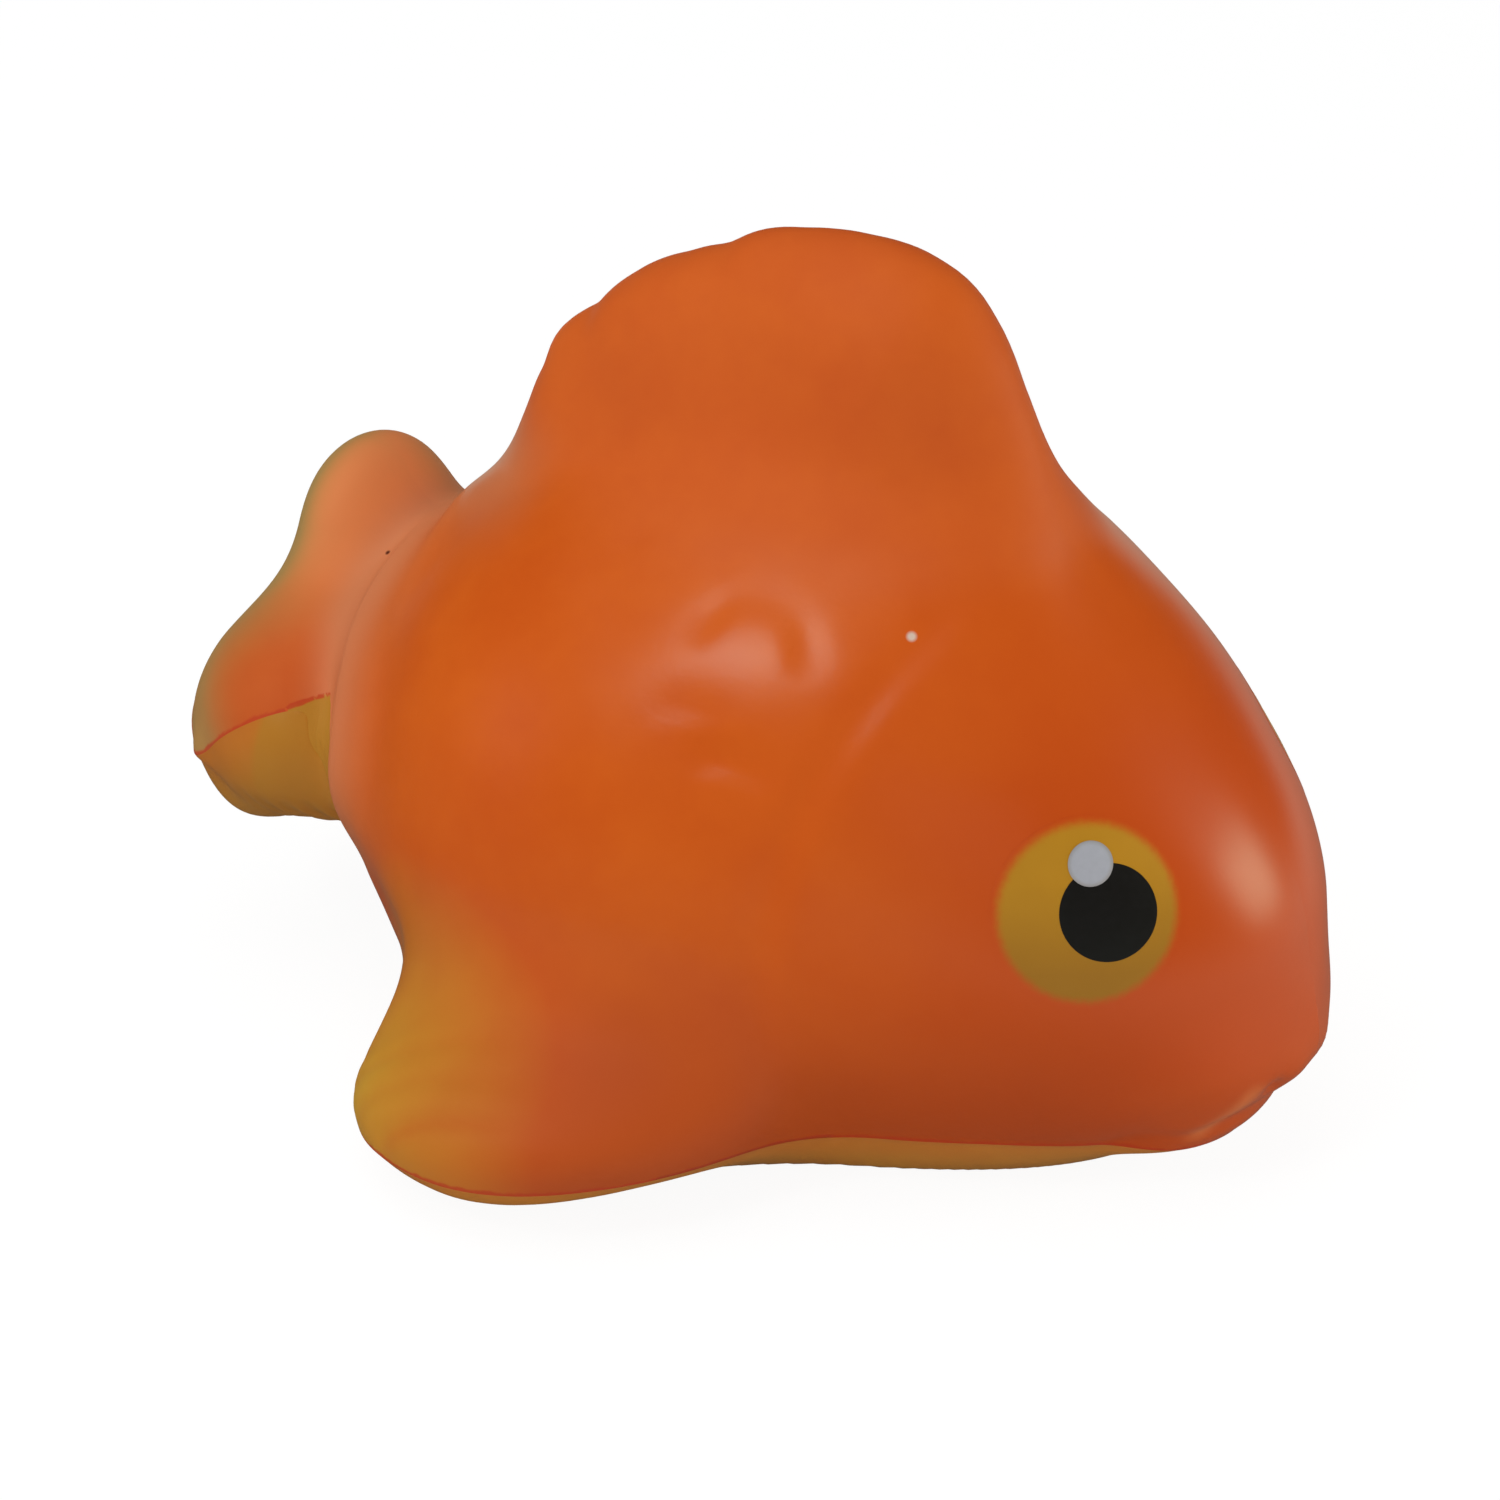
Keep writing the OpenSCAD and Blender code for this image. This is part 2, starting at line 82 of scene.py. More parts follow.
def moulded_copy(node_name, piece_name, levels):
    """A new piece with a CAD node's form, its facets rounded off and its rims kept sharp.
    Points that aren't on the core's own surface go into the vertex group outside."""
    piece = bpy.data.objects.new(piece_name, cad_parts[node_name].data.copy())
    bpy.context.scene.collection.objects.link(piece)
    piece.data.materials.clear()
    hold(piece)
    bpy.ops.object.mode_set(mode="EDIT")
    bpy.ops.mesh.select_mode(type="VERT")
    bpy.ops.mesh.select_all(action="SELECT")
    bpy.ops.mesh.remove_doubles(threshold=SAME_PLACE)
    bpy.ops.mesh.customdata_custom_splitnormals_clear()
    bpy.ops.mesh.tris_convert_to_quads(face_threshold=math.radians(60), shape_threshold=math.radians(90))
    bpy.ops.mesh.select_mode(type="EDGE")
    bpy.ops.mesh.select_all(action="DESELECT")
    bpy.ops.object.mode_set(mode="OBJECT")
    core_finder = finder_of([point.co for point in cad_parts["foam_core"].data.vertices])
    far = [core_finder.find(point.co)[2] > ON_CORE for point in piece.data.vertices]
    outside = piece.vertex_groups.new(name="outside")
    outside.add([number for number, kept in enumerate(far) if kept], 1.0, "REPLACE")
    far_shares = {}
    for face in piece.data.polygons:
        share = sum(far[number] for number in face.vertices) / len(face.vertices)
        for key in face.edge_keys:
            far_shares.setdefault(key, set()).add(share)
    for edge in piece.data.edges:
        shares = far_shares[edge.key]
        edge.select = len(shares) > 1 and (max(shares) == 1 or min(shares) == 0)
    bpy.ops.object.mode_set(mode="EDIT")
    bpy.ops.transform.edge_crease(value=1)
    bpy.ops.object.mode_set(mode="OBJECT")
    apply_modifier(piece, "SUBSURF", levels=levels, render_levels=levels)
    bpy.ops.object.shade_smooth()
    return piece


def linear(hex_colour):
    """An sRGB hex colour as linear red, green, blue and alpha."""
    shares = [int(hex_colour[i:i + 2], 16) / 255 for i in (1, 3, 5)]
    return [c / 12.92 if c <= 0.04045 else ((c + 0.055) / 1.055) ** 2.4 for c in shares] + [1.0]


def add_node(tree, kind, inputs=None, **settings):
    """Adds a node, sets its properties, and sets or links its inputs by name or number."""
    node = tree.nodes.new(kind)
    for key, value in settings.items():
        setattr(node, key, value)
    for key, value in (inputs or {}).items():
        if isinstance(value, bpy.types.NodeSocket):
            tree.links.new(value, node.inputs[key])
        else:
            node.inputs[key].default_value = value
    return node


def new_material(name):
    """An empty node material, its tree and its Principled shader."""
    material = bpy.data.materials.new(name)
    material.use_nodes = True
    tree = material.node_tree
    return material, tree, tree.nodes["Principled BSDF"]


def points_of(piece):
    """The piece's points in millimetres, one row each."""
    flat = np.empty(3 * len(piece.data.vertices))
    piece.data.vertices.foreach_get("co", flat)
    return flat.reshape(-1, 3) / MM


def move_points(piece, points):
    """Puts the piece's points at these places in millimetres."""
    piece.data.vertices.foreach_set("co", (points * MM).ravel())
    piece.data.update()


def normals_of(piece):
    """The outward direction at each of the piece's points."""
    flat = np.empty(3 * len(piece.data.vertices))
    piece.data.vertex_normals.foreach_get("vector", flat)
    return flat.reshape(-1, 3)


core = moulded_copy("foam_core", "foam_core_piece", CORE_LEVELS)
move_points(core, points_of(core) - normals_of(core) * (CORE_ROOM / MM))

# Open-cell polyurethane foam, cast: cream, matt, with cells about half a millimetre wide that show as pits,
# darker down in each pit as painted shade.
material, tree, shader = new_material("slow_recovery_polyurethane_foam")
place = add_node(tree, "ShaderNodeTexCoord").outputs["Object"]
cells = add_node(tree, "ShaderNodeTexVoronoi", {"Vector": place, "Scale": 1 / FOAM_CELL})
depth = add_node(tree, "ShaderNodeMapRange",
                 {"Value": cells.outputs["Distance"], "From Min": 0.15, "From Max": 0.7})
tint = add_node(tree, "ShaderNodeMix",
                {"Factor": depth.outputs["Result"], "A": linear(FOAM_PIT_SHADE), "B": linear(FOAM_WALL)},
                data_type="RGBA")
rough = add_node(tree, "ShaderNodeMapRange",
                 {"Value": cells.outputs["Distance"], "To Min": 0.95, "To Max": 0.8})
pits = add_node(tree, "ShaderNodeBump",
                {"Height": depth.outputs["Result"], "Strength": 0.6, "Distance": FOAM_CELL / 2})
tree.links.new(tint.outputs["Result"], shader.inputs["Base Color"])
tree.links.new(rough.outputs["Result"], shader.inputs["Roughness"])
tree.links.new(pits.outputs["Normal"], shader.inputs["Normal"])
core.data.materials.append(material)
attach(core, "root")
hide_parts("foam_core")

# Belly coat
# The real belly is a yellow polyurethane coat, sprayed into the mould's lower half before the foam went in.
# It grew into the foam's skin, meets the orange coat at the parting line, and is ribbed under the tail.
COAT_LEVELS = 3
MIDDLE_X = 2.449
# The lumps that the model for the mould was built up from, in mm and degrees:
# each one's middle, size, turn, tip and the size of the fillet that joins it to those before it.
LUMPS = (
    ((0, 0, 20), (71, 66.5, 67.5), 0, 10, 1),
    ((25.5, 0, 19), (54.5, 46.5, 47.5), 0, 9, 13),
    ((17, 0, 36.25), (40, 36.5, 29.5), 0, 24.5, 12),
    ((44.1, 0, 12), (20.5, 24, 12.5), 0, 0, 5),
    ((40.7, 0, 5), (19.5, 25, 8.5), 0, 0, 1.5),
    ((8, 0, 52.75), (38, 17, 42), 0, 5.5, 10),
    ((12, 0, 60.25), (21.5, 14, 24), 0, 5.5, 4),
    ((-5, 0, 55.75), (25.5, 14.5, 24), 0, -5, 4),
    ((-13, 0, 48.65), (19, 15, 21), 0, -19, 4),
    ((0.5, 32.55, 6.75), (35, 27, 14.5), -17, -8, 9.5),
    ((-40.2, 0, 32), (13, 20.5, 24), 0, 0, 8.5),
    ((-38.2, 11.5, 23), (22, 26, 19.5), -20, 0, 6),
    ((-43.7, 14, 18), (10, 12.5, 12.5), -20, 0, 4.5))
BODY_LUMPS = 10
DRAWING_STEPS = 8
FLASH = 0.1
FLASH_WIDTH = 0.4
FIN_GROOVE_Y = 43.3
FIN_GROOVE_SLANT = 0.17
FIN_GROOVE_STEP = 3.4
FIN_GROOVE_DEPTH = 0.4
TAIL_RIB_X = -36.9
TAIL_RIB_STEP = 2.1
TAIL_RIB_DEPTH = 0.32
CREASE_DEPTH = 1.0
CREASE_WIDTHS = (1.4, 2.8)
CREASE_LEAN = 0.29
CREASE_LEAN_Z = 20.5
CREASE_FILL = 2.4
CREASE_FILL_AT = -3.2
CREASE_FILL_WIDTH = 4.5
FIN_TIP = np.array([-17.0, 41.0, 5.0])
# Where the parting line was moved on the mould, in mm: place, reach around it, and how far up or down.
SEAM_SLIDES = ((FIN_TIP, 9, -1.4), ((12, 38.5, 7), 11, 1.3), ((-47, 21.5, 22), 4, -1.6))
# The last strokes on the model, in mm: where, how wide, and how far out or in.
STROKES = (
    ((9, 2, 73.4), 7, -0.8), ((2, 1, 73.3), 6, -0.5), ((-16, 0, 64.6), 4, -0.6),
    ((-20.4, 1.3, 59), 3, 0.5), ((-23.7, 2.6, 53), 4, -0.6), ((-27, 5, 44.5), 5, 0.9),
    ((21, 3, 64), 6, -0.4), ((23.5, 9, 51), 7, 0.5), ((34.4, 14, 37.5), 7, 0.4),
    ((40.5, 12.5, 31.5), 8, 0.3), ((50.8, 6.5, 13.2), 5, -0.6), ((52.3, 2, 13.5), 3.5, -0.4),
    ((51.3, 2.5, 10.2), 2, 0.3), ((50.2, 4.5, 9.1), 1.2, -0.5), ((48.3, 7.6, 7.8), 2, 0.2),
    ((45.8, 9.4, 7), 2.2, 0.4), ((44.1, 10.8, 6.7), 2, 0.3), ((50, 3, 21), 6, 0.3),
    ((-32, 6, 38.5), 7, 0.5), ((-25, 24.8, 13), 4.5, -0.6), ((-16.5, 41.5, 5), 5, -0.4),
    ((-10, 44.3, 3.1), 6, -0.6), ((2.5, 42.5, 2.6), 7, -0.3), ((8.5, 38.5, 3.4), 7, -0.6),
    ((-19.2, 32, 8.9), 4, 0.6), ((-21, 27.6, 12.4), 3, -0.4), ((-46.9, 6.8, 36.4), 5, -0.5),
    ((-46.6, 21.9, 20.9), 1.7, 0.7), ((-46.2, 20.8, 16.8), 3, -0.9), ((-29.4, 21.1, 15.2), 4, 0.4))
RIM_POINTS_PER_EDGE = 6
MEET_REACH = 1
MEET_FADE = 3
FLAT_HEIGHT = 0.03
INSIDE_KEPT = 0.85
RIM_ANGLE = math.radians(55)


def ease(low, high, value):
    """0 at low and before it, 1 at high and after it, smooth between; low may be above high."""
    share = np.clip((value - low) / (high - low), 0, 1)
    return share * share * (3 - 2 * share)


def to_left(points):
    """Points mirrored to the fish's left, so that one half's relief serves both."""
    return np.stack([points[:, 0], np.abs(points[:, 1]), points[:, 2]], 1)


def form(points, lumps=LUMPS):
    """About how far points lie outside the sculpted form, in mm: rounded lumps joined by fillets."""
    side = to_left(points) + (MIDDLE_X, 0, 0)
    level = np.full(len(points), 1000.0)
    for middle, size, turn, tip, fillet in lumps:
        turn, tip = math.radians(turn), math.radians(tip)
        ahead = np.array([math.cos(turn) * math.cos(tip), math.sin(turn) * math.cos(tip), -math.sin(tip)])
        across = np.array([-math.sin(turn), math.cos(turn), 0])
        half = np.array(size) / 2
        share = (side - middle) @ np.array([ahead, across, np.cross(ahead, across)]).T / half
        reach = np.linalg.norm(share, axis=1)
        lump = reach * (reach - 1) / np.maximum(np.linalg.norm(share / half, axis=1), 1e-6)
        near = np.maximum(fillet - np.abs(level - lump), 0) / fillet
        level = np.minimum(level, lump) - near * near * fillet / 4
    return level


def form_slope(points):
    """The direction in which the form's level grows fastest, with its rate."""
    step = 0.01
    return np.stack([form(points + d) - form(points - d) for d in np.eye(3) * step], 1) / (2 * step)


def on_form(points):
    """Points drawn onto the form's surface, but for those on the flat that the toy rests on."""
    moved = points.copy()
    free = points[:, 2] > FLAT_HEIGHT
    for _ in range(DRAWING_STEPS):
        slope = form_slope(moved[free])
        rate = np.maximum((slope ** 2).sum(1), 0.3)
        moved[free] -= slope * (form(moved[free]) / rate)[:, None]
    moved[:, 2] = np.maximum(moved[:, 2], 0)
    return moved


def bump(points, middle, width):
    """1 at a place, falling off around it."""
    return np.exp(-(np.linalg.norm(points - np.array(middle), axis=1) / width) ** 2)


def nearer_tail(points):
    """How much nearer points lie to the tail's lumps than to the body's, in mm."""
    return form(points, LUMPS[:BODY_LUMPS]) - form(points, LUMPS[BODY_LUMPS:])


def tail_side(points):
    """Above 0 on the tail's side of the crease between tail and body, below 0 on the body's side, in mm.
    The crease leans back over the tail as it rises."""
    return nearer_tail(points) - CREASE_LEAN * (points[:, 2] - CREASE_LEAN_Z)


def fin_lanes(side):
    """1 in the middle of a ray's groove on the side fins, 0 between the rays and off the fins."""
    x, y, z = side.T
    lane = (y + FIN_GROOVE_SLANT * x - FIN_GROOVE_Y) / FIN_GROOVE_STEP
    lines = (0.5 + 0.5 * np.cos(2 * math.pi * lane)) ** 2 * np.where(np.abs(lane) < 0.5, 1, 0.3)
    return lines * ease(5, -3, x) * ease(35, 38, y) * ease(4, 7, z)


def shared_relief(points):
    """What both halves of the mould have: last strokes, the crease before the tail, the fins' rays."""
    side = to_left(points)
    x, y, z = side.T
    depth = sum(height * bump(side, middle, width) for middle, width, height in STROKES)
    valley = ease(-24, -29, x) * ease(9, 14, y) * ease(34, 28, z)
    behind = tail_side(points)
    depth -= CREASE_DEPTH * valley * np.exp(-(behind / np.where(behind < 0, *CREASE_WIDTHS)) ** 2)
    filled = ease(-18, -27, x) * ease(14, 25, z) * ease(41, 32, z)
    off_fill = (nearer_tail(points) - CREASE_FILL_AT) / CREASE_FILL_WIDTH
    depth += CREASE_FILL * filled * np.exp(-off_fill ** 2)
    return depth - FIN_GROOVE_DEPTH * fin_lanes(side)


def belly_relief(points):
    """What the lower half of the mould alone has: the ribs under the tail's rim."""
    x, _, z = to_left(points).T
    under = ease(20, 17, z) * ease(-31, -33, x) * ease(-43, -40, x)
    ribs = 0.5 + 0.5 * np.cos(2 * math.pi * (x - TAIL_RIB_X) / TAIL_RIB_STEP)
    return -TAIL_RIB_DEPTH * under * ribs


def seam_slide(points):
    """How far the parting line runs from where the mould was first split, in mm."""
    side = to_left(points)
    return np.outer(sum(rise * bump(side, middle, width) for middle, width, rise in SEAM_SLIDES), (0, 0, 1))


def in_crease(points):
    """1 in the crease before the tail, where no flash shows, and 0 elsewhere."""
    x, y, z = to_left(points).T
    return ease(-39, -37, x) * ease(-19, -22, x) * ease(9, 12, y) * ease(30, 28, z)


def weights_of(piece, group_name):
    """The weight of each of the piece's points in a vertex group."""
    index = piece.vertex_groups[group_name].index
    weights = np.zeros(len(piece.data.vertices))
    for vertex in piece.data.vertices:
        for entry in vertex.groups:
            if entry.group == index:
                weights[vertex.index] = entry.weight
    return weights


def write_attribute(piece, name, values):
    """Stores one number at each of the piece's points, for its material to read."""
    attribute = piece.data.attributes.new(name, "FLOAT", "POINT")
    attribute.data.foreach_set("value", np.asarray(values, np.float32))


def rim_of(piece, outer):
    """The numbers of the points on a coat's outer rim."""
    rim = set()
    for face in piece.data.polygons:
        held = [outer[i] for i in face.vertices]
        if any(held) and not all(held):
            rim.update(i for i, kept in zip(face.vertices, held) if kept)
    return np.array(sorted(rim))


def rim_line(piece, rim):
    """Places close together along a coat's outer rim, in millimetres."""
    points = points_of(piece)
    on_rim = np.zeros(len(points), bool)
    on_rim[rim] = True
    ends = np.array([edge.vertices for edge in piece.data.edges if all(on_rim[i] for i in edge.vertices)])
    shares = np.linspace(0, 1, RIM_POINTS_PER_EDGE)[:, None, None]
    return (points[ends[:, 0]] * (1 - shares) + points[ends[:, 1]] * shares).reshape(-1, 3)


def parting_distance(points, rim):
    """How far each point lies from the coat's outer rim, in millimetres."""
    finder = finder_of(points[rim])
    return np.array([finder.find(point)[2] for point in points])


def meet(piece, outer, rim, line):
    """Moves a coat's outer rim onto the other coat's rim line, where the two have parted a little.
    What lies near the rim is taken along, less and less."""
    points = points_of(piece)
    finder = finder_of(line)
    steps = np.array([finder.find(points[i])[0] for i in rim]) - points[rim]
    steps[np.linalg.norm(steps, axis=1) > MEET_REACH] = 0
    near_rim = finder_of(points[rim])
    share = weights_of(piece, "outside")
    for i in np.flatnonzero(share > 0.001):
        _, k, away = near_rim.find(points[i])
        if away < MEET_FADE:
            points[i] += steps[k] * (math.exp(-away * away) if outer[i] else share[i])
    move_points(piece, points)


def press(piece, relief):
    """Draws a coat's outside onto the form, adds a relief in mm, raises the flash and takes the rim along.
    Gives back which points are outside, the rim's points, all points' distances from it and ways out."""
    share = weights_of(piece, "outside")
    outer = share > 0.999
    first = points_of(piece)
    points = first.copy()
    points[outer] = on_form(points[outer] + seam_slide(points[outer]))
    move_points(piece, points)
    rim = rim_of(piece, outer)
    parting = parting_distance(points, rim)
    out = form_slope(points)
    out /= np.maximum(np.linalg.norm(out, axis=1, keepdims=True), 1e-9)
    raised = shared_relief(points) + relief(points) * ease(0.1, 1.2, parting)
    raised += FLASH * np.exp(-(parting / FLASH_WIDTH) ** 2) * (1 - in_crease(points))
    raised *= ease(0.05, 1.2, points[:, 2])
    points[outer] += out[outer] * raised[outer, None]
    numbers = np.flatnonzero(outer)
    finder = finder_of(first[outer])
    for i in np.flatnonzero((share > 0.001) & ~outer):
        nearest = numbers[finder.find(first[i])[1]]
        points[i] += share[i] * (points[nearest] - first[nearest])
    move_points(piece, points)
    return outer, rim, parting, out


def thin_inside(piece, outer):
    """Thins out a coat's inside, which never shows, and shades the coat smooth up to its rims."""
    hold(piece)
    bpy.ops.object.mode_set(mode="EDIT")
    bpy.ops.mesh.select_mode(type="VERT")
    bpy.ops.mesh.select_all(action="DESELECT")
    bpy.ops.object.mode_set(mode="OBJECT")
    piece.data.vertices.foreach_set("select", ~outer)
    bpy.ops.object.mode_set(mode="EDIT")
    bpy.ops.mesh.decimate(ratio=INSIDE_KEPT)
    bpy.ops.object.mode_set(mode="OBJECT")
    bpy.ops.object.shade_smooth_by_angle(angle=RIM_ANGLE)


belly = moulded_copy("belly_skin", "belly_coat", COAT_LEVELS)
outer, rim, parting, _ = press(belly, belly_relief)
belly_rim = rim_line(belly, rim)
write_attribute(belly, "parting", parting + 9 * in_crease(points_of(belly)))
thin_inside(belly, outer)

# Polyurethane coat, sprayed and moulded: ochre yellow, satin, mottled where it is thinner over the foam,
# darker and browner under the tail as painted shade, and tinged by the orange near the parting line.
COAT_MOTTLE = 14 * MM
COAT_GRAIN = 0.45 * MM
COAT_GRAIN_DEPTH = 0.03 * MM
COAT_SHINE = 0.45
YELLOW_DEEP = "#CE7F22"
YELLOW_LIGHT = "#D89832"
# Painted shade colour for the yellow under the tail.
YELLOW_SHADE_UNDER_TAIL = "#B4781E"
YELLOW_TINGED = "#D2641C"
material, tree, shader = new_material("yellow_polyurethane_coat")
place = add_node(tree, "ShaderNodeTexCoord").outputs["Object"]
mottle = add_node(tree, "ShaderNodeTexNoise",
                  {"Vector": place, "Scale": 1 / COAT_MOTTLE, "Detail": 4.0, "Roughness": 0.6})
grain = add_node(tree, "ShaderNodeTexNoise",
                 {"Vector": place, "Scale": 1 / COAT_GRAIN, "Detail": 2.0})
patch = add_node(tree, "ShaderNodeMapRange",
                 {"Value": mottle.outputs["Fac"], "From Min": 0.3, "From Max": 0.7})
yellow = add_node(tree, "ShaderNodeMix",
                  {"Factor": patch.outputs["Result"], "A": linear(YELLOW_DEEP), "B": linear(YELLOW_LIGHT)},
                  data_type="RGBA")
along = add_node(tree, "ShaderNodeSeparateXYZ", {"Vector": place})
# Painted shade: the yellow darkens toward the tail, whose underside faces down.
tailward = add_node(tree, "ShaderNodeMapRange",
                    {"Value": along.outputs["X"], "From Min": -26 * MM, "From Max": -34 * MM,
                     "To Max": 0.75})
shade_darkened = add_node(tree, "ShaderNodeMix",
                   {"Factor": tailward.outputs["Result"], "A": yellow.outputs["Result"],
                    "B": linear(YELLOW_SHADE_UNDER_TAIL)}, data_type="RGBA")
from_seam = add_node(tree, "ShaderNodeAttribute", attribute_name="parting")
drift = add_node(tree, "ShaderNodeMapRange",
                 {"Value": from_seam.outputs["Fac"], "From Min": 0.0, "From Max": 7.0,
                  "To Min": 0.45, "To Max": 0.0}, interpolation_type="SMOOTHSTEP")
tinged = add_node(tree, "ShaderNodeMix",
                  {"Factor": drift.outputs["Result"], "A": shade_darkened.outputs["Result"],
                   "B": linear(YELLOW_TINGED)}, data_type="RGBA")
rough = add_node(tree, "ShaderNodeMapRange",
                 {"Value": mottle.outputs["Fac"], "To Min": 0.38, "To Max": 0.52})
bumps = add_node(tree, "ShaderNodeBump",
                 {"Height": grain.outputs["Fac"], "Strength": 0.25, "Distance": COAT_GRAIN_DEPTH})
shader.inputs["Specular IOR Level"].default_value = COAT_SHINE
tree.links.new(tinged.outputs["Result"], shader.inputs["Base Color"])
tree.links.new(rough.outputs["Result"], shader.inputs["Roughness"])
tree.links.new(bumps.outputs["Normal"], shader.inputs["Normal"])
belly.data.materials.append(material)
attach(belly, "root")
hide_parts("belly_skin")

# Back coat
# The real back is an orange polyurethane coat, sprayed into the mould's upper half, with yellow misted on
# at the tips of the side fins and the tail. The mould's hollow gives it scales, gill edges, a mouth and
# fin rays.
# Each scale that shows: its place along and around the flank, in mm, and its side and top grooves' depths.
SCALES = (
    (9.9, 29.0, 0.26, 0.1), (11.2, 15.8, 0.02, 0.34), (6.9, 18.9, 0.02, 0.12), (0.5, 33.5, 0.06, 0.04),
    (17.5, 36.0, 0.06, 0.04), (8.5, 41.0, 0.05, 0.05), (-6.0, 27.0, 0.03, 0.03))
SCALE_RADIUS = 4.5
SCALE_EDGE = (0.9, 2.0)
FLANK_AXIS_Z = 20.0
FLANK_RADIUS = 33.0
GILL_BOTTOM_X = 17.4
GILL_MIDDLE_Z = 24.0
GILL_BEND = 0.0115
GILL_STEP = 0.2
GILL_GROOVE = 0.12
DORSAL_NOTCHES = ((-4.9, 69.9), (-17.3, 62.6), (-22.5, 57.2))
DORSAL_NOTCH_DEPTH = 0.25
DORSAL_NOTCH_WIDTH = 1.7
DORSAL_RAY_ROOT = (2, 42)
DORSAL_RAY_STEP = 11
DORSAL_RAY_DEPTH = 0.05
FIN_MIST_REACH = 21.0
FIN_ROOT = (7.6, 36.7, 13.7)
CREASE_LINE_Z = 27.9
TAIL_SPRAY = np.array([0.6, 0.5, 0.62])
TAIL_PATCH = (-38.5, 8.0, 42.0)
LIP_EDGE = ((45.6, 8.8, 6.1), (47.4, 7.9, 7.5), (49.5, 7.3, 9.5))


def gill_x(height):
    """Where the gill cover's edge lies along the body at a height."""
    return GILL_BOTTOM_X + GILL_BEND * (height - GILL_MIDDLE_Z) ** 2


def scale_relief(points):
    """The scales that show on the flanks: each is a round plate with a groove along its upper edge."""
    x, y, z = to_left(points).T
    around = np.arctan2(z - FLANK_AXIS_Z, y) * FLANK_RADIUS
    depth = np.zeros(len(points))
    for scale_x, turn, at_side, at_top in SCALES:
        along, up = x - scale_x, around - turn
        away = np.maximum(np.hypot(along, up), 0.01)
        top = ease(0.6, 1.0, up / away)
        groove = at_side * ease(-0.3, 0.5, up / away) * (1 - top) + at_top * top
        beyond = away - SCALE_RADIUS
        depth = np.maximum(depth, groove * np.exp(-(beyond / np.where(beyond < 0, *SCALE_EDGE)) ** 2))
    return -depth * ease(0.5, -2.0, x - gill_x(z))


def gill_relief(points):
    """The gill cover's edge: the cheek stands a little proud of the flank behind it."""
    x, _, z = to_left(points).T
    ahead = x - gill_x(z)
    plate = ease(-1.3, 1.3, ahead) * np.exp(-np.maximum(ahead, 0) / 7)
    groove = np.exp(-((ahead + 1.8) / 1.4) ** 2)
    return (GILL_STEP * plate - GILL_GROOVE * groove) * ease(10, 15, z) * ease(51, 44, z)


def dorsal_relief(points):
    """The dents in the back fin's rear edge and the soft rays above its root."""
    x, y, z = to_left(points).T
    depth = np.zeros(len(points))
    for notch_x, notch_z in DORSAL_NOTCHES:
        away = np.hypot(x - notch_x, z - notch_z)
        depth -= DORSAL_NOTCH_DEPTH * np.exp(-(away / DORSAL_NOTCH_WIDTH) ** 2) * ease(6, 3, y)
    fan = np.degrees(np.arctan2(x - DORSAL_RAY_ROOT[0], z - DORSAL_RAY_ROOT[1]))
    rays = (0.5 + 0.5 * np.cos(np.radians(360 * fan / DORSAL_RAY_STEP))) ** 2
    return depth - DORSAL_RAY_DEPTH * ease(57, 64, z) * rays


def back_relief(points):
    """What the upper half of the mould alone has."""
    return scale_relief(points) + gill_relief(points) + dorsal_relief(points)


def yellow_mist(points, out):
    """How much yellow shows: most at the side fins' tips, some where the tail turns from the spray."""
    side = to_left(points)
    x, _, z = side.T
    fin = np.clip(1.03 - np.linalg.norm(side - FIN_TIP, axis=1) / FIN_MIST_REACH, 0, 1)
    facing = np.stack([out[:, 0], out[:, 1] * np.sign(points[:, 1]), out[:, 2]], 1) @ TAIL_SPRAY
    high = 0.25 * ease(28, 36, z) - 0.1
    tail = ease(-35, -41, x) * (0.06 + 0.85 * ease(0.85, 0.1, facing - high))
    patch = 0.7 * bump(points, TAIL_PATCH, 5)
    return np.max([fin * (1 - 0.3 * fin_lanes(side)), tail, patch], 0)


def sheen_share(points):
    """How much paler orange is painted as light: sheen on the tail, a highlight along the lip, a little on
    the jaw.
    """
    side = to_left(points)
    x, _, z = side.T
    tail = ease(-29, -37, x) * ease(30, 38, z)
    edge = np.concatenate([np.linspace(start, end, 6) for start, end in zip(LIP_EDGE, LIP_EDGE[1:])])
    lip = 0.55 * np.max([bump(side, middle, 1.3) for middle in edge], 0)
    jaw = 0.06 * ease(40, 46, x) * ease(15, 11, z)
    return np.max([tail, lip, jaw], 0)


def rim_sheen_share(points):
    """How much paler, pinker orange is painted as sheen along the body's edge before the tail."""
    x, _, z = to_left(points).T
    near = nearer_tail(points)
    body = np.minimum(near + 14 * ease(40, 49, z), 0)
    strip = 0.78 * np.exp(-(body / 7) ** 2) * ease(7, 2, near) * ease(-12, -18, x)
    return strip * ease(12, 17, z) * ease(56, 50, z)


def tail_fin_shade_share(points):
    """How much painted shade deepens the orange: on the tail's lower half and where the side fins leave the
    body.
    """
    side = to_left(points)
    x, _, z = side.T
    tail = 0.4 * ease(-32, -38, x) * ease(36, 24, z)
    return np.maximum(tail, 0.6 * bump(side, FIN_ROOT, 8))


def matt_share(points):
    """How much duller the coat is: on all fins and the tail, where the mould was left rough."""
    x, y, z = to_left(points).T
    side_fin = ease(28, 33, y) * ease(26, 20, z)
    return np.max([ease(48, 54, z), ease(-28, -33, x), side_fin], 0)


def crease_lap(points):
    """How far inside the yellow that laps up the tail's front, down in the crease, a point lies, in mm."""
    x, y, z = to_left(points).T
    line = CREASE_LINE_Z + 0.3 * (x + 37)
    near = (tail_side(points) > 0) & (x > -36.5) & (x < -20) & (y > 9)
    return np.where(near, line - z, -9.0)


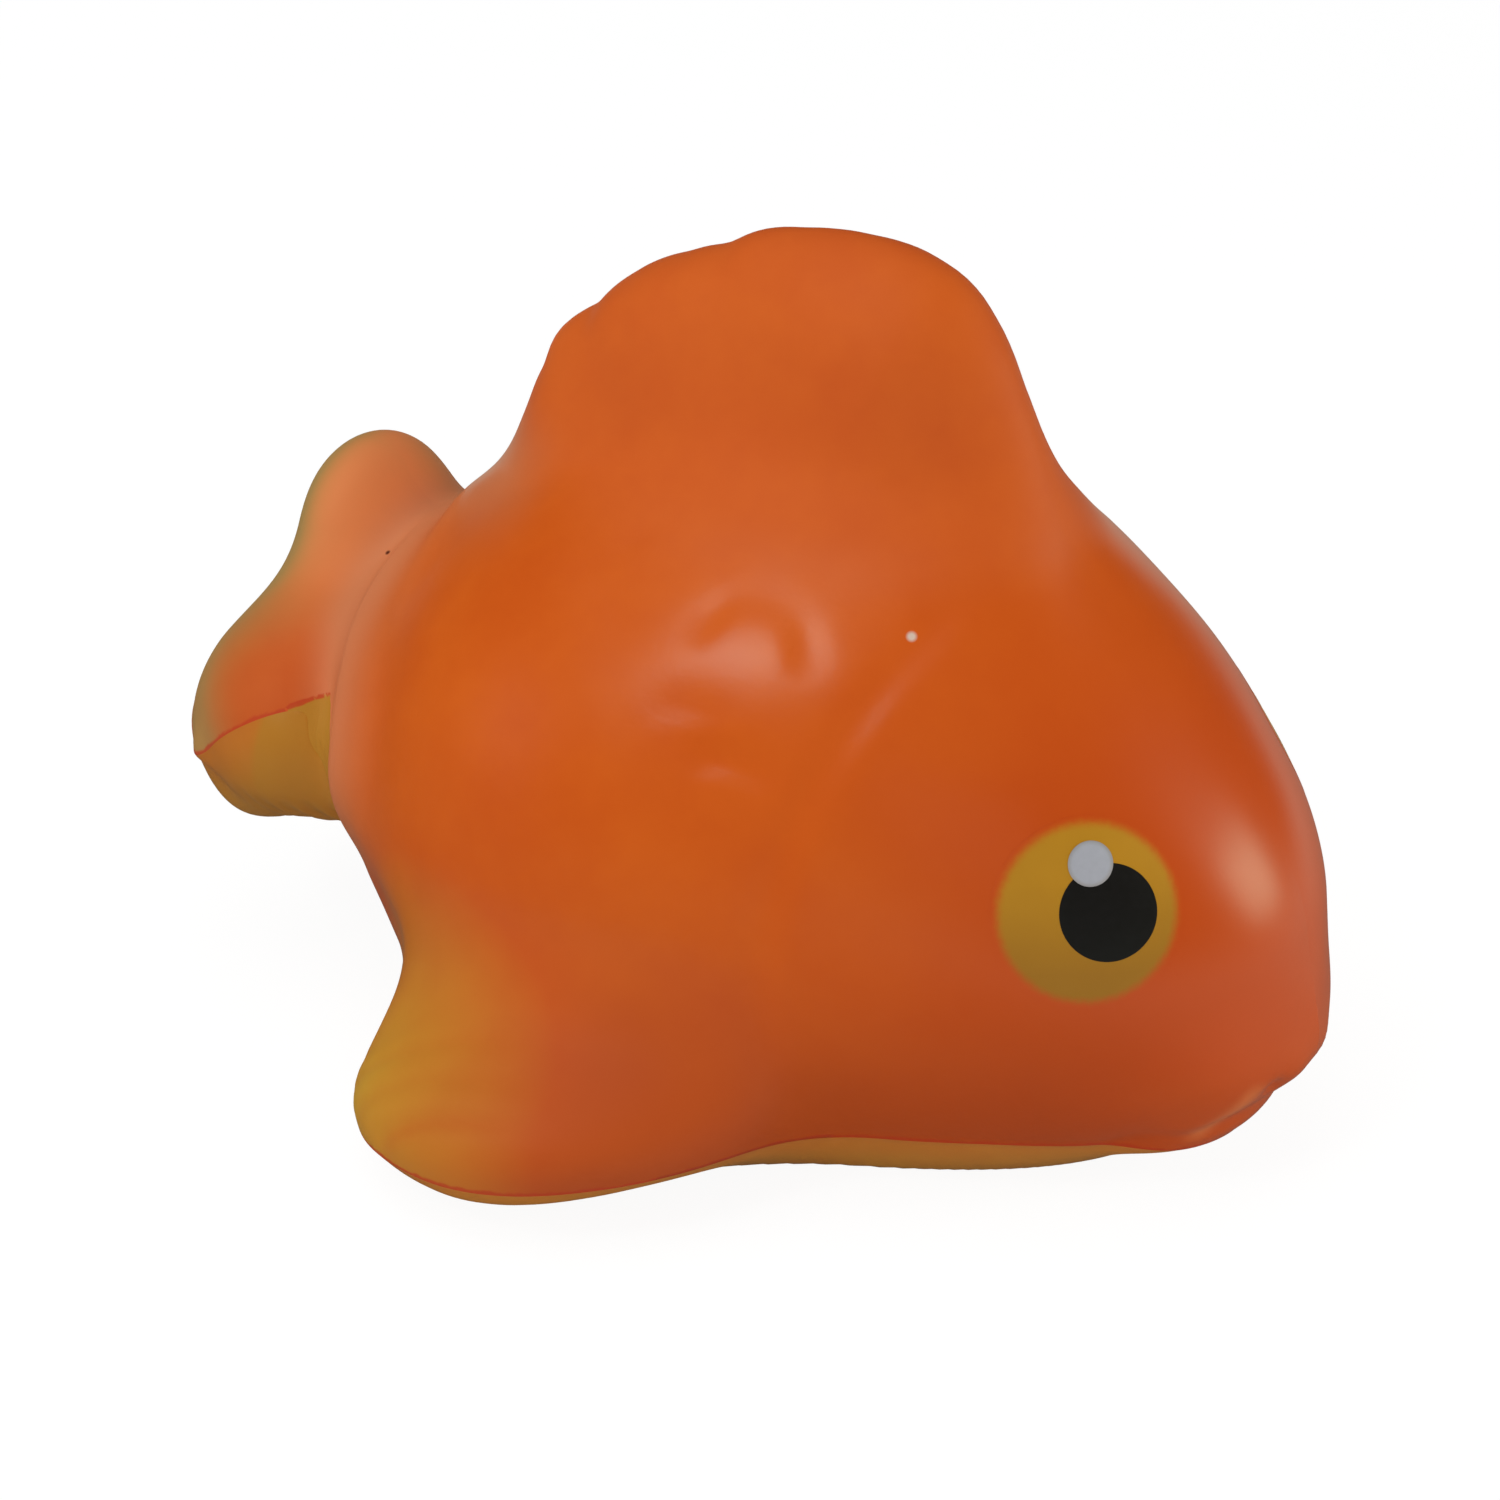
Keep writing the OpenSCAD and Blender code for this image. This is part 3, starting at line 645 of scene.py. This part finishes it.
back = moulded_copy("back_skin", "back_coat", COAT_LEVELS)
outer, rim, parting, out = press(back, back_relief)
meet(back, outer, rim, belly_rim)
back_points = points_of(back)
lap = crease_lap(back_points)
write_attribute(back, "parting", np.where(lap > -8, 2 * np.abs(lap), parting))
write_attribute(back, "sheen", sheen_share(back_points))
write_attribute(back, "rim_sheen", rim_sheen_share(back_points))
write_attribute(back, "tail_fin_shade", tail_fin_shade_share(back_points))
write_attribute(back, "matt", matt_share(back_points))
write_attribute(back, "lap", lap)
write_attribute(back, "mist", yellow_mist(back_points, out))
thin_inside(back, outer)

ORANGE_DEEP = "#D3560B"
ORANGE_LIGHT = "#DC6110"
ORANGE_HEAD = "#C6480A"
# Painted shade colour: low on the body, on the tail's lower half and at the side fins' roots.
ORANGE_SHADE_LOW = "#B2430A"
# Painted sheen and highlight colour.
ORANGE_SHEEN = "#E68248"
# Painted sheen colour for the body's edge before the tail.
ORANGE_RIM_SHEEN = "#D27E53"
FIN_YELLOW = "#CC9826"
# Painted shade colour for the misted yellow toward the tail.
TAIL_YELLOW_SHADE = "#B08A4A"
LAP_YELLOW = "#B97E20"
FLASH_RED = "#C23A0E"
FLASH_RAGGED = 1.4 * MM
# A pale fleck on the coat, and a pit whose shade is painted as a dark spot: each one's place, radius and
# colour.
MARKS = (
    ((21.18 * MM, -14.81 * MM, 47.37 * MM), 0.36 * MM, "#DCC0B0"),
    ((-36.0 * MM, -6.88 * MM, 36.93 * MM), 0.22 * MM, "#5A2208"))


def orange_nodes(tree, place):
    """The sprayed orange, mottled, redder to the head, painted shade deepening it low down, and the noise
    that mottles it.
    """
    mottle = add_node(tree, "ShaderNodeTexNoise",
                      {"Vector": place, "Scale": 1 / COAT_MOTTLE, "Detail": 4.0, "Roughness": 0.6})
    patch = add_node(tree, "ShaderNodeMapRange",
                     {"Value": mottle.outputs["Fac"], "From Min": 0.3, "From Max": 0.7})
    orange = add_node(tree, "ShaderNodeMix",
                      {"Factor": patch.outputs["Result"], "A": linear(ORANGE_DEEP),
                       "B": linear(ORANGE_LIGHT)}, data_type="RGBA")
    along = add_node(tree, "ShaderNodeSeparateXYZ", {"Vector": place})
    headward = add_node(tree, "ShaderNodeMapRange",
                        {"Value": along.outputs["X"], "From Min": 5 * MM, "From Max": 45 * MM,
                         "To Max": 0.9}, interpolation_type="SMOOTHSTEP")
    below_crown = add_node(tree, "ShaderNodeMapRange",
                           {"Value": along.outputs["Z"], "From Min": 56 * MM, "From Max": 38 * MM,
                            "To Min": 0.1})
    head = add_node(tree, "ShaderNodeMath",
                    {0: headward.outputs["Result"], 1: below_crown.outputs["Result"]},
                    operation="MULTIPLY")
    headed = add_node(tree, "ShaderNodeMix",
                      {"Factor": head.outputs["Value"], "A": orange.outputs["Result"],
                       "B": linear(ORANGE_HEAD)}, data_type="RGBA")
    # Painted shade: darker, redder orange low down on the body, everywhere but on the jaw.
    downward = add_node(tree, "ShaderNodeMapRange",
                        {"Value": along.outputs["Z"], "From Min": 24 * MM, "From Max": 8 * MM,
                         "To Max": 0.55}, interpolation_type="SMOOTHSTEP")
    before_jaw = add_node(tree, "ShaderNodeMapRange",
                          {"Value": along.outputs["X"], "From Min": 44 * MM, "From Max": 36 * MM})
    low = add_node(tree, "ShaderNodeMath",
                   {0: downward.outputs["Result"], 1: before_jaw.outputs["Result"]}, operation="MULTIPLY")
    shaded_low = add_node(tree, "ShaderNodeMix",
                       {"Factor": low.outputs["Value"], "A": headed.outputs["Result"],
                        "B": linear(ORANGE_SHADE_LOW)}, data_type="RGBA")
    return shaded_low.outputs["Result"], mottle.outputs["Fac"]


# Polyurethane coat, sprayed and moulded: deep orange, satin, redder over the head, duller on fins and tail.
# Painted sheen pales the tail and the body's edge before it, with a painted highlight along the lip, and
# painted shade darkens it low down and on the tail's lower half. Yellow is misted on at the tips. A ragged
# red line of flash runs along the parting line. The grain is too fine to see but for a softer shine.
material, tree, shader = new_material("orange_polyurethane_coat")
place = add_node(tree, "ShaderNodeTexCoord").outputs["Object"]
orange, mottle = orange_nodes(tree, place)
grain = add_node(tree, "ShaderNodeTexNoise",
                 {"Vector": place, "Scale": 1 / COAT_GRAIN, "Detail": 2.0})
# Painted shade: deeper orange on the tail's lower half and where the side fins leave the body.
tail_fin_shade = add_node(tree, "ShaderNodeAttribute", attribute_name="tail_fin_shade")
tail_fin_shaded = add_node(tree, "ShaderNodeMix",
                    {"Factor": tail_fin_shade.outputs["Fac"], "A": orange, "B": linear(ORANGE_SHADE_LOW)}, data_type="RGBA")
# Painted sheen on the tail, a painted highlight along the lip and a little painted light on the jaw.
sheen = add_node(tree, "ShaderNodeAttribute", attribute_name="sheen")
sheened = add_node(tree, "ShaderNodeMix",
                   {"Factor": sheen.outputs["Fac"], "A": tail_fin_shaded.outputs["Result"],
                    "B": linear(ORANGE_SHEEN)}, data_type="RGBA")
# Painted sheen: paler, pinker orange along the body's edge before the tail.
rim_sheen = add_node(tree, "ShaderNodeAttribute", attribute_name="rim_sheen")
rim_sheened = add_node(tree, "ShaderNodeMix",
                  {"Factor": rim_sheen.outputs["Fac"], "A": sheened.outputs["Result"],
                   "B": linear(ORANGE_RIM_SHEEN)}, data_type="RGBA")
along = add_node(tree, "ShaderNodeSeparateXYZ", {"Vector": place})
# Toward the tail the misted yellow turns darker and duller, painted shade where its edges turn from the
# light.
tailward = add_node(tree, "ShaderNodeMapRange",
                    {"Value": along.outputs["X"], "From Min": -28 * MM, "From Max": -34 * MM})
yellow = add_node(tree, "ShaderNodeMix",
                  {"Factor": tailward.outputs["Result"], "A": linear(FIN_YELLOW), "B": linear(TAIL_YELLOW_SHADE)},
                  data_type="RGBA")
mist = add_node(tree, "ShaderNodeAttribute", attribute_name="mist")
speckle = add_node(tree, "ShaderNodeMath", {0: mottle, 1: 0.5}, operation="SUBTRACT")
uneven = add_node(tree, "ShaderNodeMath",
                  {0: speckle.outputs["Value"], 1: 0.8, 2: 1.0}, operation="MULTIPLY_ADD")
mist_share = add_node(tree, "ShaderNodeMath",
                      {0: uneven.outputs["Value"], 1: mist.outputs["Fac"]},
                      operation="MULTIPLY", use_clamp=True)
tipped = add_node(tree, "ShaderNodeMix",
                  {"Factor": mist_share.outputs["Value"], "A": rim_sheened.outputs["Result"],
                   "B": yellow.outputs["Result"]}, data_type="RGBA")
inside_lap = add_node(tree, "ShaderNodeAttribute", attribute_name="lap")
lap_share = add_node(tree, "ShaderNodeMapRange",
                     {"Value": inside_lap.outputs["Fac"], "From Min": -0.15, "From Max": 0.15})
lapped = add_node(tree, "ShaderNodeMix",
                  {"Factor": lap_share.outputs["Result"], "A": tipped.outputs["Result"],
                   "B": linear(LAP_YELLOW)}, data_type="RGBA")
from_seam = add_node(tree, "ShaderNodeAttribute", attribute_name="parting")
ragged = add_node(tree, "ShaderNodeTexNoise", {"Vector": place, "Scale": 1 / FLASH_RAGGED, "Detail": 3.0})
edge = add_node(tree, "ShaderNodeMath",
                {0: ragged.outputs["Fac"], 1: -0.7, 2: from_seam.outputs["Fac"]}, operation="MULTIPLY_ADD")
flash = add_node(tree, "ShaderNodeMapRange",
                 {"Value": edge.outputs["Value"], "From Min": 0.12, "From Max": -0.1, "To Max": 0.85})
marked = add_node(tree, "ShaderNodeMix",
                  {"Factor": flash.outputs["Result"], "A": lapped.outputs["Result"],
                   "B": linear(FLASH_RED)}, data_type="RGBA")
for spot, size, colour in MARKS:
    away = add_node(tree, "ShaderNodeVectorMath", {0: place, 1: spot}, operation="DISTANCE")
    on_spot = add_node(tree, "ShaderNodeMapRange",
                       {"Value": away.outputs["Value"], "From Min": 1.4 * size, "From Max": 0.6 * size})
    marked = add_node(tree, "ShaderNodeMix",
                      {"Factor": on_spot.outputs["Result"], "A": marked.outputs["Result"],
                       "B": linear(colour)}, data_type="RGBA")
matt = add_node(tree, "ShaderNodeAttribute", attribute_name="matt")
satin = add_node(tree, "ShaderNodeMapRange", {"Value": mottle, "To Min": 0.28, "To Max": 0.31})
rough = add_node(tree, "ShaderNodeMix",
                 {"Factor": matt.outputs["Fac"], "A": satin.outputs["Result"], "B": 0.62})
bumps = add_node(tree, "ShaderNodeBump",
                 {"Height": grain.outputs["Fac"], "Strength": 0.25, "Distance": COAT_GRAIN_DEPTH})
shader.inputs["Specular IOR Level"].default_value = COAT_SHINE
tree.links.new(marked.outputs["Result"], shader.inputs["Base Color"])
tree.links.new(rough.outputs["Result"], shader.inputs["Roughness"])
tree.links.new(bumps.outputs["Normal"], shader.inputs["Normal"])
back.data.materials.append(material)
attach(back, "root")
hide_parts("back_skin")

# Eyes
# Each real eye is three layers of ink printed on the head: a yellow disc with a misted edge, a black disc
# over it and a white dot over both. The films lie on the coat one above another; left mirrors right.
EYE_ROOT = Vector((27.05, 0.0, 19.0)) * MM
EYE_TURN = math.radians(34.0)
EYE_UP = math.radians(25.5)
EYE_START = 45 * MM
FILM = 0.015 * MM
FILM_STEP = 0.02 * MM
FILM_ROOM = 0.005 * MM
FILM_RINGS = 10
FILM_CORNERS = 96
IRIS_RADIUS = 7.1
IRIS_MIST = 0.6
IRIS_DUST = 0.5 * MM
IRIS_POOL = 5 * MM
IRIS_DEEP = "#B67D0E"
IRIS_LIGHT = "#C48A16"
# Painted shade colour for the iris's lower part.
IRIS_SHADE_LOW = "#9A6612"
PUPIL_RADIUS = 3.9
PUPIL_AHEAD = 1.6
PUPIL_DEEP = "#14100E"
PUPIL_LIGHT = "#1B1717"
INK_DUST = 0.6 * MM
GLINT_RADIUS = 1.7
GLINT_SPREAD = 0.1
GLINT_AHEAD = 0.2
GLINT_ABOVE = 3.9
GLINT_DEEP = "#A6A5AE"
GLINT_LIGHT = "#B2B2BB"
GLINT_EDGE = "#8A7A66"

eye_out = Vector((math.cos(EYE_UP) * math.sin(EYE_TURN), -math.cos(EYE_UP) * math.cos(EYE_TURN),
                  math.sin(EYE_UP)))
eye_ahead = Vector((math.cos(EYE_TURN), math.sin(EYE_TURN), 0.0))
eye_above = eye_out.cross(eye_ahead)


def ink_film(name, radius, ahead, above, layer):
    """A closed round film of ink on the right side of the head.
    Each point stores its distance from the film's middle, for the ink's material."""
    bpy.ops.object.select_all(action="DESELECT")
    bpy.ops.mesh.primitive_circle_add(vertices=FILM_CORNERS, radius=radius * MM, fill_type="NGON")
    film = bpy.context.active_object
    film.name = name
    bpy.ops.object.mode_set(mode="EDIT")
    bpy.ops.mesh.select_all(action="SELECT")
    for _ in range(FILM_RINGS):
        bpy.ops.mesh.inset(thickness=radius * MM / (FILM_RINGS + 0.5))
    bpy.ops.object.mode_set(mode="OBJECT")
    middle = EYE_ROOT + eye_out * EYE_START + (eye_ahead * ahead + eye_above * above) * MM
    turned = Matrix((eye_ahead, eye_above, eye_out)).transposed().to_4x4()
    film.matrix_world = Matrix.Translation(middle) @ turned
    bpy.context.view_layer.update()
    write_attribute(film, "from_middle", np.linalg.norm(points_of(film)[:, :2], axis=1))
    apply_modifier(film, "SHRINKWRAP", target=back, wrap_method="PROJECT", use_project_z=True,
                   use_negative_direction=True, use_positive_direction=False,
                   offset=layer * FILM_STEP + FILM_ROOM, wrap_mode="ABOVE_SURFACE")
    bpy.ops.object.transform_apply(location=True, rotation=True, scale=True)
    apply_modifier(film, "SOLIDIFY", thickness=FILM, offset=1.0)
    bpy.ops.object.shade_smooth_by_angle(angle=math.radians(40))
    return film


def left_copy(film, name):
    """The same film on the left side, with its own mesh, mirrored in the mid-plane."""
    copy = bpy.data.objects.new(name, film.data.copy())
    bpy.context.scene.collection.objects.link(copy)
    hold(copy)
    bpy.ops.object.mode_set(mode="EDIT")
    bpy.ops.mesh.select_all(action="SELECT")
    bpy.ops.transform.resize(value=(1, -1, 1), center_override=(0, 0, 0))
    bpy.ops.mesh.flip_normals()
    bpy.ops.object.mode_set(mode="OBJECT")
    return copy


# Printing ink, air-brushed: golden yellow, satin, fading out over its last millimetre; painted shade browns
# it low down.
iris_ink, tree, shader = new_material("yellow_printing_ink")
place = add_node(tree, "ShaderNodeTexCoord").outputs["Object"]
from_middle = add_node(tree, "ShaderNodeAttribute", attribute_name="from_middle")
dust = add_node(tree, "ShaderNodeTexNoise", {"Vector": place, "Scale": 1 / IRIS_DUST, "Detail": 2.0})
wander = add_node(tree, "ShaderNodeMath",
                  {0: dust.outputs["Fac"], 1: 0.35, 2: from_middle.outputs["Fac"]},
                  operation="MULTIPLY_ADD")
cover = add_node(tree, "ShaderNodeMapRange",
                 {"Value": wander.outputs["Value"], "From Min": IRIS_RADIUS + IRIS_MIST + 0.1,
                  "From Max": IRIS_RADIUS - IRIS_MIST + 0.2}, interpolation_type="SMOOTHSTEP")
pool = add_node(tree, "ShaderNodeTexNoise", {"Vector": place, "Scale": 1 / IRIS_POOL, "Detail": 2.0})
golden = add_node(tree, "ShaderNodeMix",
                  {"Factor": pool.outputs["Fac"], "A": linear(IRIS_DEEP), "B": linear(IRIS_LIGHT)},
                  data_type="RGBA")
along = add_node(tree, "ShaderNodeSeparateXYZ", {"Vector": place})
# Painted shade: the iris browns toward its lower edge.
shade_below = add_node(tree, "ShaderNodeMapRange",
                 {"Value": along.outputs["Z"], "From Min": 31 * MM, "From Max": 24 * MM, "To Max": 0.7})
shade_darkened = add_node(tree, "ShaderNodeMix",
                   {"Factor": shade_below.outputs["Result"], "A": golden.outputs["Result"],
                    "B": linear(IRIS_SHADE_LOW)}, data_type="RGBA")
orange, _ = orange_nodes(tree, place)
misted = add_node(tree, "ShaderNodeMix",
                  {"Factor": cover.outputs["Result"], "A": orange, "B": shade_darkened.outputs["Result"]},
                  data_type="RGBA")
dry = add_node(tree, "ShaderNodeMapRange", {"Value": dust.outputs["Fac"], "To Min": 0.4, "To Max": 0.55})
rough = add_node(tree, "ShaderNodeMix",
                 {"Factor": cover.outputs["Result"], "A": 0.3, "B": dry.outputs["Result"]})
shader.inputs["Specular IOR Level"].default_value = COAT_SHINE
tree.links.new(misted.outputs["Result"], shader.inputs["Base Color"])
tree.links.new(rough.outputs["Result"], shader.inputs["Roughness"])

# Printing ink, black: dense and even, a little softer in shine than the coat.
pupil_ink, tree, shader = new_material("black_printing_ink")
place = add_node(tree, "ShaderNodeTexCoord").outputs["Object"]
dust = add_node(tree, "ShaderNodeTexNoise", {"Vector": place, "Scale": 1 / INK_DUST, "Detail": 3.0})
tint = add_node(tree, "ShaderNodeMix",
                {"Factor": dust.outputs["Fac"], "A": linear(PUPIL_DEEP), "B": linear(PUPIL_LIGHT)},
                data_type="RGBA")
rough = add_node(tree, "ShaderNodeMapRange", {"Value": dust.outputs["Fac"], "To Min": 0.4, "To Max": 0.5})
shader.inputs["Specular IOR Level"].default_value = COAT_SHINE
tree.links.new(tint.outputs["Result"], shader.inputs["Base Color"])
tree.links.new(rough.outputs["Result"], shader.inputs["Roughness"])

# Printing ink, white, given a grey tone, with a soft edge.
glint_ink, tree, shader = new_material("white_printing_ink")
place = add_node(tree, "ShaderNodeTexCoord").outputs["Object"]
from_middle = add_node(tree, "ShaderNodeAttribute", attribute_name="from_middle")
dust = add_node(tree, "ShaderNodeTexNoise", {"Vector": place, "Scale": 1 / INK_DUST, "Detail": 3.0})
white = add_node(tree, "ShaderNodeMix",
                 {"Factor": dust.outputs["Fac"], "A": linear(GLINT_DEEP), "B": linear(GLINT_LIGHT)},
                 data_type="RGBA")
thinning = add_node(tree, "ShaderNodeMapRange",
                    {"Value": from_middle.outputs["Fac"], "From Min": GLINT_RADIUS - 0.3,
                     "From Max": GLINT_RADIUS + GLINT_SPREAD, "To Max": 0.4},
                    interpolation_type="SMOOTHSTEP")
edged = add_node(tree, "ShaderNodeMix",
                 {"Factor": thinning.outputs["Result"], "A": white.outputs["Result"],
                  "B": linear(GLINT_EDGE)}, data_type="RGBA")
rough = add_node(tree, "ShaderNodeMapRange", {"Value": dust.outputs["Fac"], "To Min": 0.45, "To Max": 0.6})
shader.inputs["Specular IOR Level"].default_value = COAT_SHINE
tree.links.new(edged.outputs["Result"], shader.inputs["Base Color"])
tree.links.new(rough.outputs["Result"], shader.inputs["Roughness"])

for part, ink, slot, radius, ahead, above, layer in (
        ("iris", iris_ink, "yellow_ink", IRIS_RADIUS + IRIS_MIST, 0.0, 0.0, 0),
        ("pupil", pupil_ink, "black_ink", PUPIL_RADIUS, PUPIL_AHEAD, 0.0, 1),
        ("highlight", glint_ink, "white_ink", GLINT_RADIUS + GLINT_SPREAD, GLINT_AHEAD, GLINT_ABOVE, 2)):
    right = ink_film(f"right_{part}_film", radius, ahead, above, layer)
    right.data.materials.append(ink)
    left = left_copy(right, f"left_{part}_film")
    for side, film in (("right", right), ("left", left)):
        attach(film, "root")
        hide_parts(f"{side}_{part}")

# Studio
# The toy sits on a plain white sweep in even light from diffusers around it, with two small lamps for its
# shine. The camera stands where the picture of the real toy was taken from.
FLOOR_SIZE = 6.0
FLOOR_DROP = 0.05 * MM
SKY = 0.3
SKY_IN_GLOSS = 0.02
FLOOR_IN_GLOSS = (0.03, 0.8)
FLOOR_BEYOND = (0.3, 0.954, 0)
SNOUT_FLOOR_IN_GLOSS = 0.5
VIEW_TARGET = Vector((-1.45, 0.0, 28.0)) * MM
VIEW_AZIMUTH = math.radians(31.203)
VIEW_ELEVATION = math.radians(28.496)
VIEW_DISTANCE = 295.22 * MM
SENSOR = 36.0
IMAGE_SIDE = 1500
FOCAL_PIXELS = 3401.15
MIDDLE_PIXEL = (761.41, 705.80)

bpy.ops.object.select_all(action="DESELECT")
bpy.ops.mesh.primitive_plane_add(size=FLOOR_SIZE, location=(0, 0, -FLOOR_DROP))
floor = bpy.context.active_object
floor.name = "floor"

# Matt white paper: it keeps the toy's shadow, and the toy's shine shows it brighter farther behind.
material, tree, shader = new_material("white_paper_sweep")
shader.inputs["Base Color"].default_value = (0.72, 0.72, 0.72, 1)
shader.inputs["Roughness"].default_value = 0.9
shader.inputs["Specular IOR Level"].default_value = 0.0
path = add_node(tree, "ShaderNodeLightPath")
seen = add_node(tree, "ShaderNodeMath",
                {0: path.outputs["Is Camera Ray"], 1: 0.85}, operation="MULTIPLY")
white = add_node(tree, "ShaderNodeEmission", {"Color": (1, 1, 1, 1), "Strength": 1.09})
bright = add_node(tree, "ShaderNodeMixShader",
                  {0: seen.outputs["Value"], 1: shader.outputs["BSDF"], 2: white.outputs["Emission"]})
place = add_node(tree, "ShaderNodeTexCoord").outputs["Object"]
along = add_node(tree, "ShaderNodeSeparateXYZ", {"Vector": place})
beyond = add_node(tree, "ShaderNodeVectorMath", {0: place, 1: FLOOR_BEYOND}, operation="DOT_PRODUCT")
behind = add_node(tree, "ShaderNodeMapRange",
                  {"Value": beyond.outputs["Value"], "From Min": -60 * MM, "From Max": 200 * MM,
                   "To Min": FLOOR_IN_GLOSS[0], "To Max": FLOOR_IN_GLOSS[1]})
tailward = add_node(tree, "ShaderNodeMapRange",
                    {"Value": along.outputs["X"], "From Min": 150 * MM, "From Max": -150 * MM,
                     "To Min": 0.35})
shine = add_node(tree, "ShaderNodeMath",
                 {0: behind.outputs["Result"], 1: tailward.outputs["Result"]}, operation="MULTIPLY")
snout_shine = add_node(tree, "ShaderNodeMapRange",
                       {"Value": along.outputs["X"], "From Min": 55 * MM, "From Max": 100 * MM,
                        "To Max": SNOUT_FLOOR_IN_GLOSS})
nearby = add_node(tree, "ShaderNodeMapRange",
                  {"Value": along.outputs["X"], "From Min": 300 * MM, "From Max": 160 * MM})
shines = add_node(tree, "ShaderNodeMath",
                  {0: snout_shine.outputs["Result"], 1: nearby.outputs["Result"],
                   2: shine.outputs["Value"]}, operation="MULTIPLY_ADD")
mirrored = add_node(tree, "ShaderNodeEmission",
                    {"Color": (0.85, 1, 0.85, 1), "Strength": shines.outputs["Value"]})
sweep = add_node(tree, "ShaderNodeMixShader",
                 {0: path.outputs["Is Glossy Ray"], 1: bright.outputs["Shader"],
                  2: mirrored.outputs["Emission"]})
tree.links.new(sweep.outputs["Shader"], tree.nodes["Material Output"].inputs["Surface"])
floor.data.materials.append(material)

world = bpy.data.worlds.new("studio")
bpy.context.scene.world = world
world.use_nodes = True
tree = world.node_tree
path = add_node(tree, "ShaderNodeLightPath")
unseen = add_node(tree, "ShaderNodeMapRange",
                  {"Value": path.outputs["Is Glossy Ray"], "To Min": SKY, "To Max": SKY_IN_GLOSS})
level = add_node(tree, "ShaderNodeMapRange",
                 {"Value": path.outputs["Is Camera Ray"], "To Min": unseen.outputs["Result"],
                  "To Max": 1.0})
tree.links.new(level.outputs["Result"], tree.nodes["Background"].inputs["Strength"])
tree.nodes["Background"].inputs["Color"].default_value = (1, 1, 1, 1)


def soft_light(name, aim, towards, distance, sides, power, colour=(1, 1, 1)):
    """A rectangular soft light out from a place on the toy in a direction, facing that place."""
    lamp = bpy.data.lights.new(name, "AREA")
    lamp.shape = "RECTANGLE"
    lamp.size, lamp.size_y = sides
    lamp.energy = power
    lamp.color = colour
    holder = bpy.data.objects.new(name, lamp)
    bpy.context.scene.collection.objects.link(holder)
    out = Vector(towards).normalized()
    holder.location = Vector(aim) * MM + out * distance
    holder.rotation_euler = out.to_track_quat("Z", "Y").to_euler()
    return holder


for name, towards, side, power in (
        ("overhead_diffuser", (-0.2, -0.15, 0.97), 0.9, 3.7),
        ("camera_diffuser", (0.57, -0.82, 0.3), 0.4, 2.15),
        ("tail_diffuser", (-0.75, -0.66, 0.3), 0.4, 1.55),
        ("snout_diffuser", (0.88, 0.46, 0.3), 0.4, 1.25)):
    diffuser = soft_light(name, (0, 0, 30), towards, 1.0, (side, side), power)
    diffuser.visible_glossy = False
soft_light("flank_spot", (10, -21, 45), (-0.19, -0.615, 0.765), 0.7, (0.13, 0.13), 0.58, (0.8, 1, 0.9))
soft_light("snout_spot", (47, -5, 28), (0.86, 0.47, 0.16), 0.15, (0.065, 0.06), 0.06, (0.9, 1, 0.7))

view_back = Vector((math.sin(VIEW_AZIMUTH) * math.cos(VIEW_ELEVATION),
                    -math.cos(VIEW_AZIMUTH) * math.cos(VIEW_ELEVATION), math.sin(VIEW_ELEVATION)))
camera = bpy.data.objects.new("camera", bpy.data.cameras.new("camera"))
bpy.context.scene.collection.objects.link(camera)
camera.location = VIEW_TARGET + view_back * VIEW_DISTANCE
camera.rotation_euler = view_back.to_track_quat("Z", "Y").to_euler()
camera.data.sensor_width = SENSOR
camera.data.lens = FOCAL_PIXELS / IMAGE_SIDE * SENSOR
camera.data.shift_x = (IMAGE_SIDE / 2 - MIDDLE_PIXEL[0]) / IMAGE_SIDE
camera.data.shift_y = (MIDDLE_PIXEL[1] - IMAGE_SIDE / 2) / IMAGE_SIDE
camera.data.clip_start = 0.01
camera.data.clip_end = 20
bpy.context.scene.camera = camera
bpy.context.scene.view_settings.view_transform = "Standard"
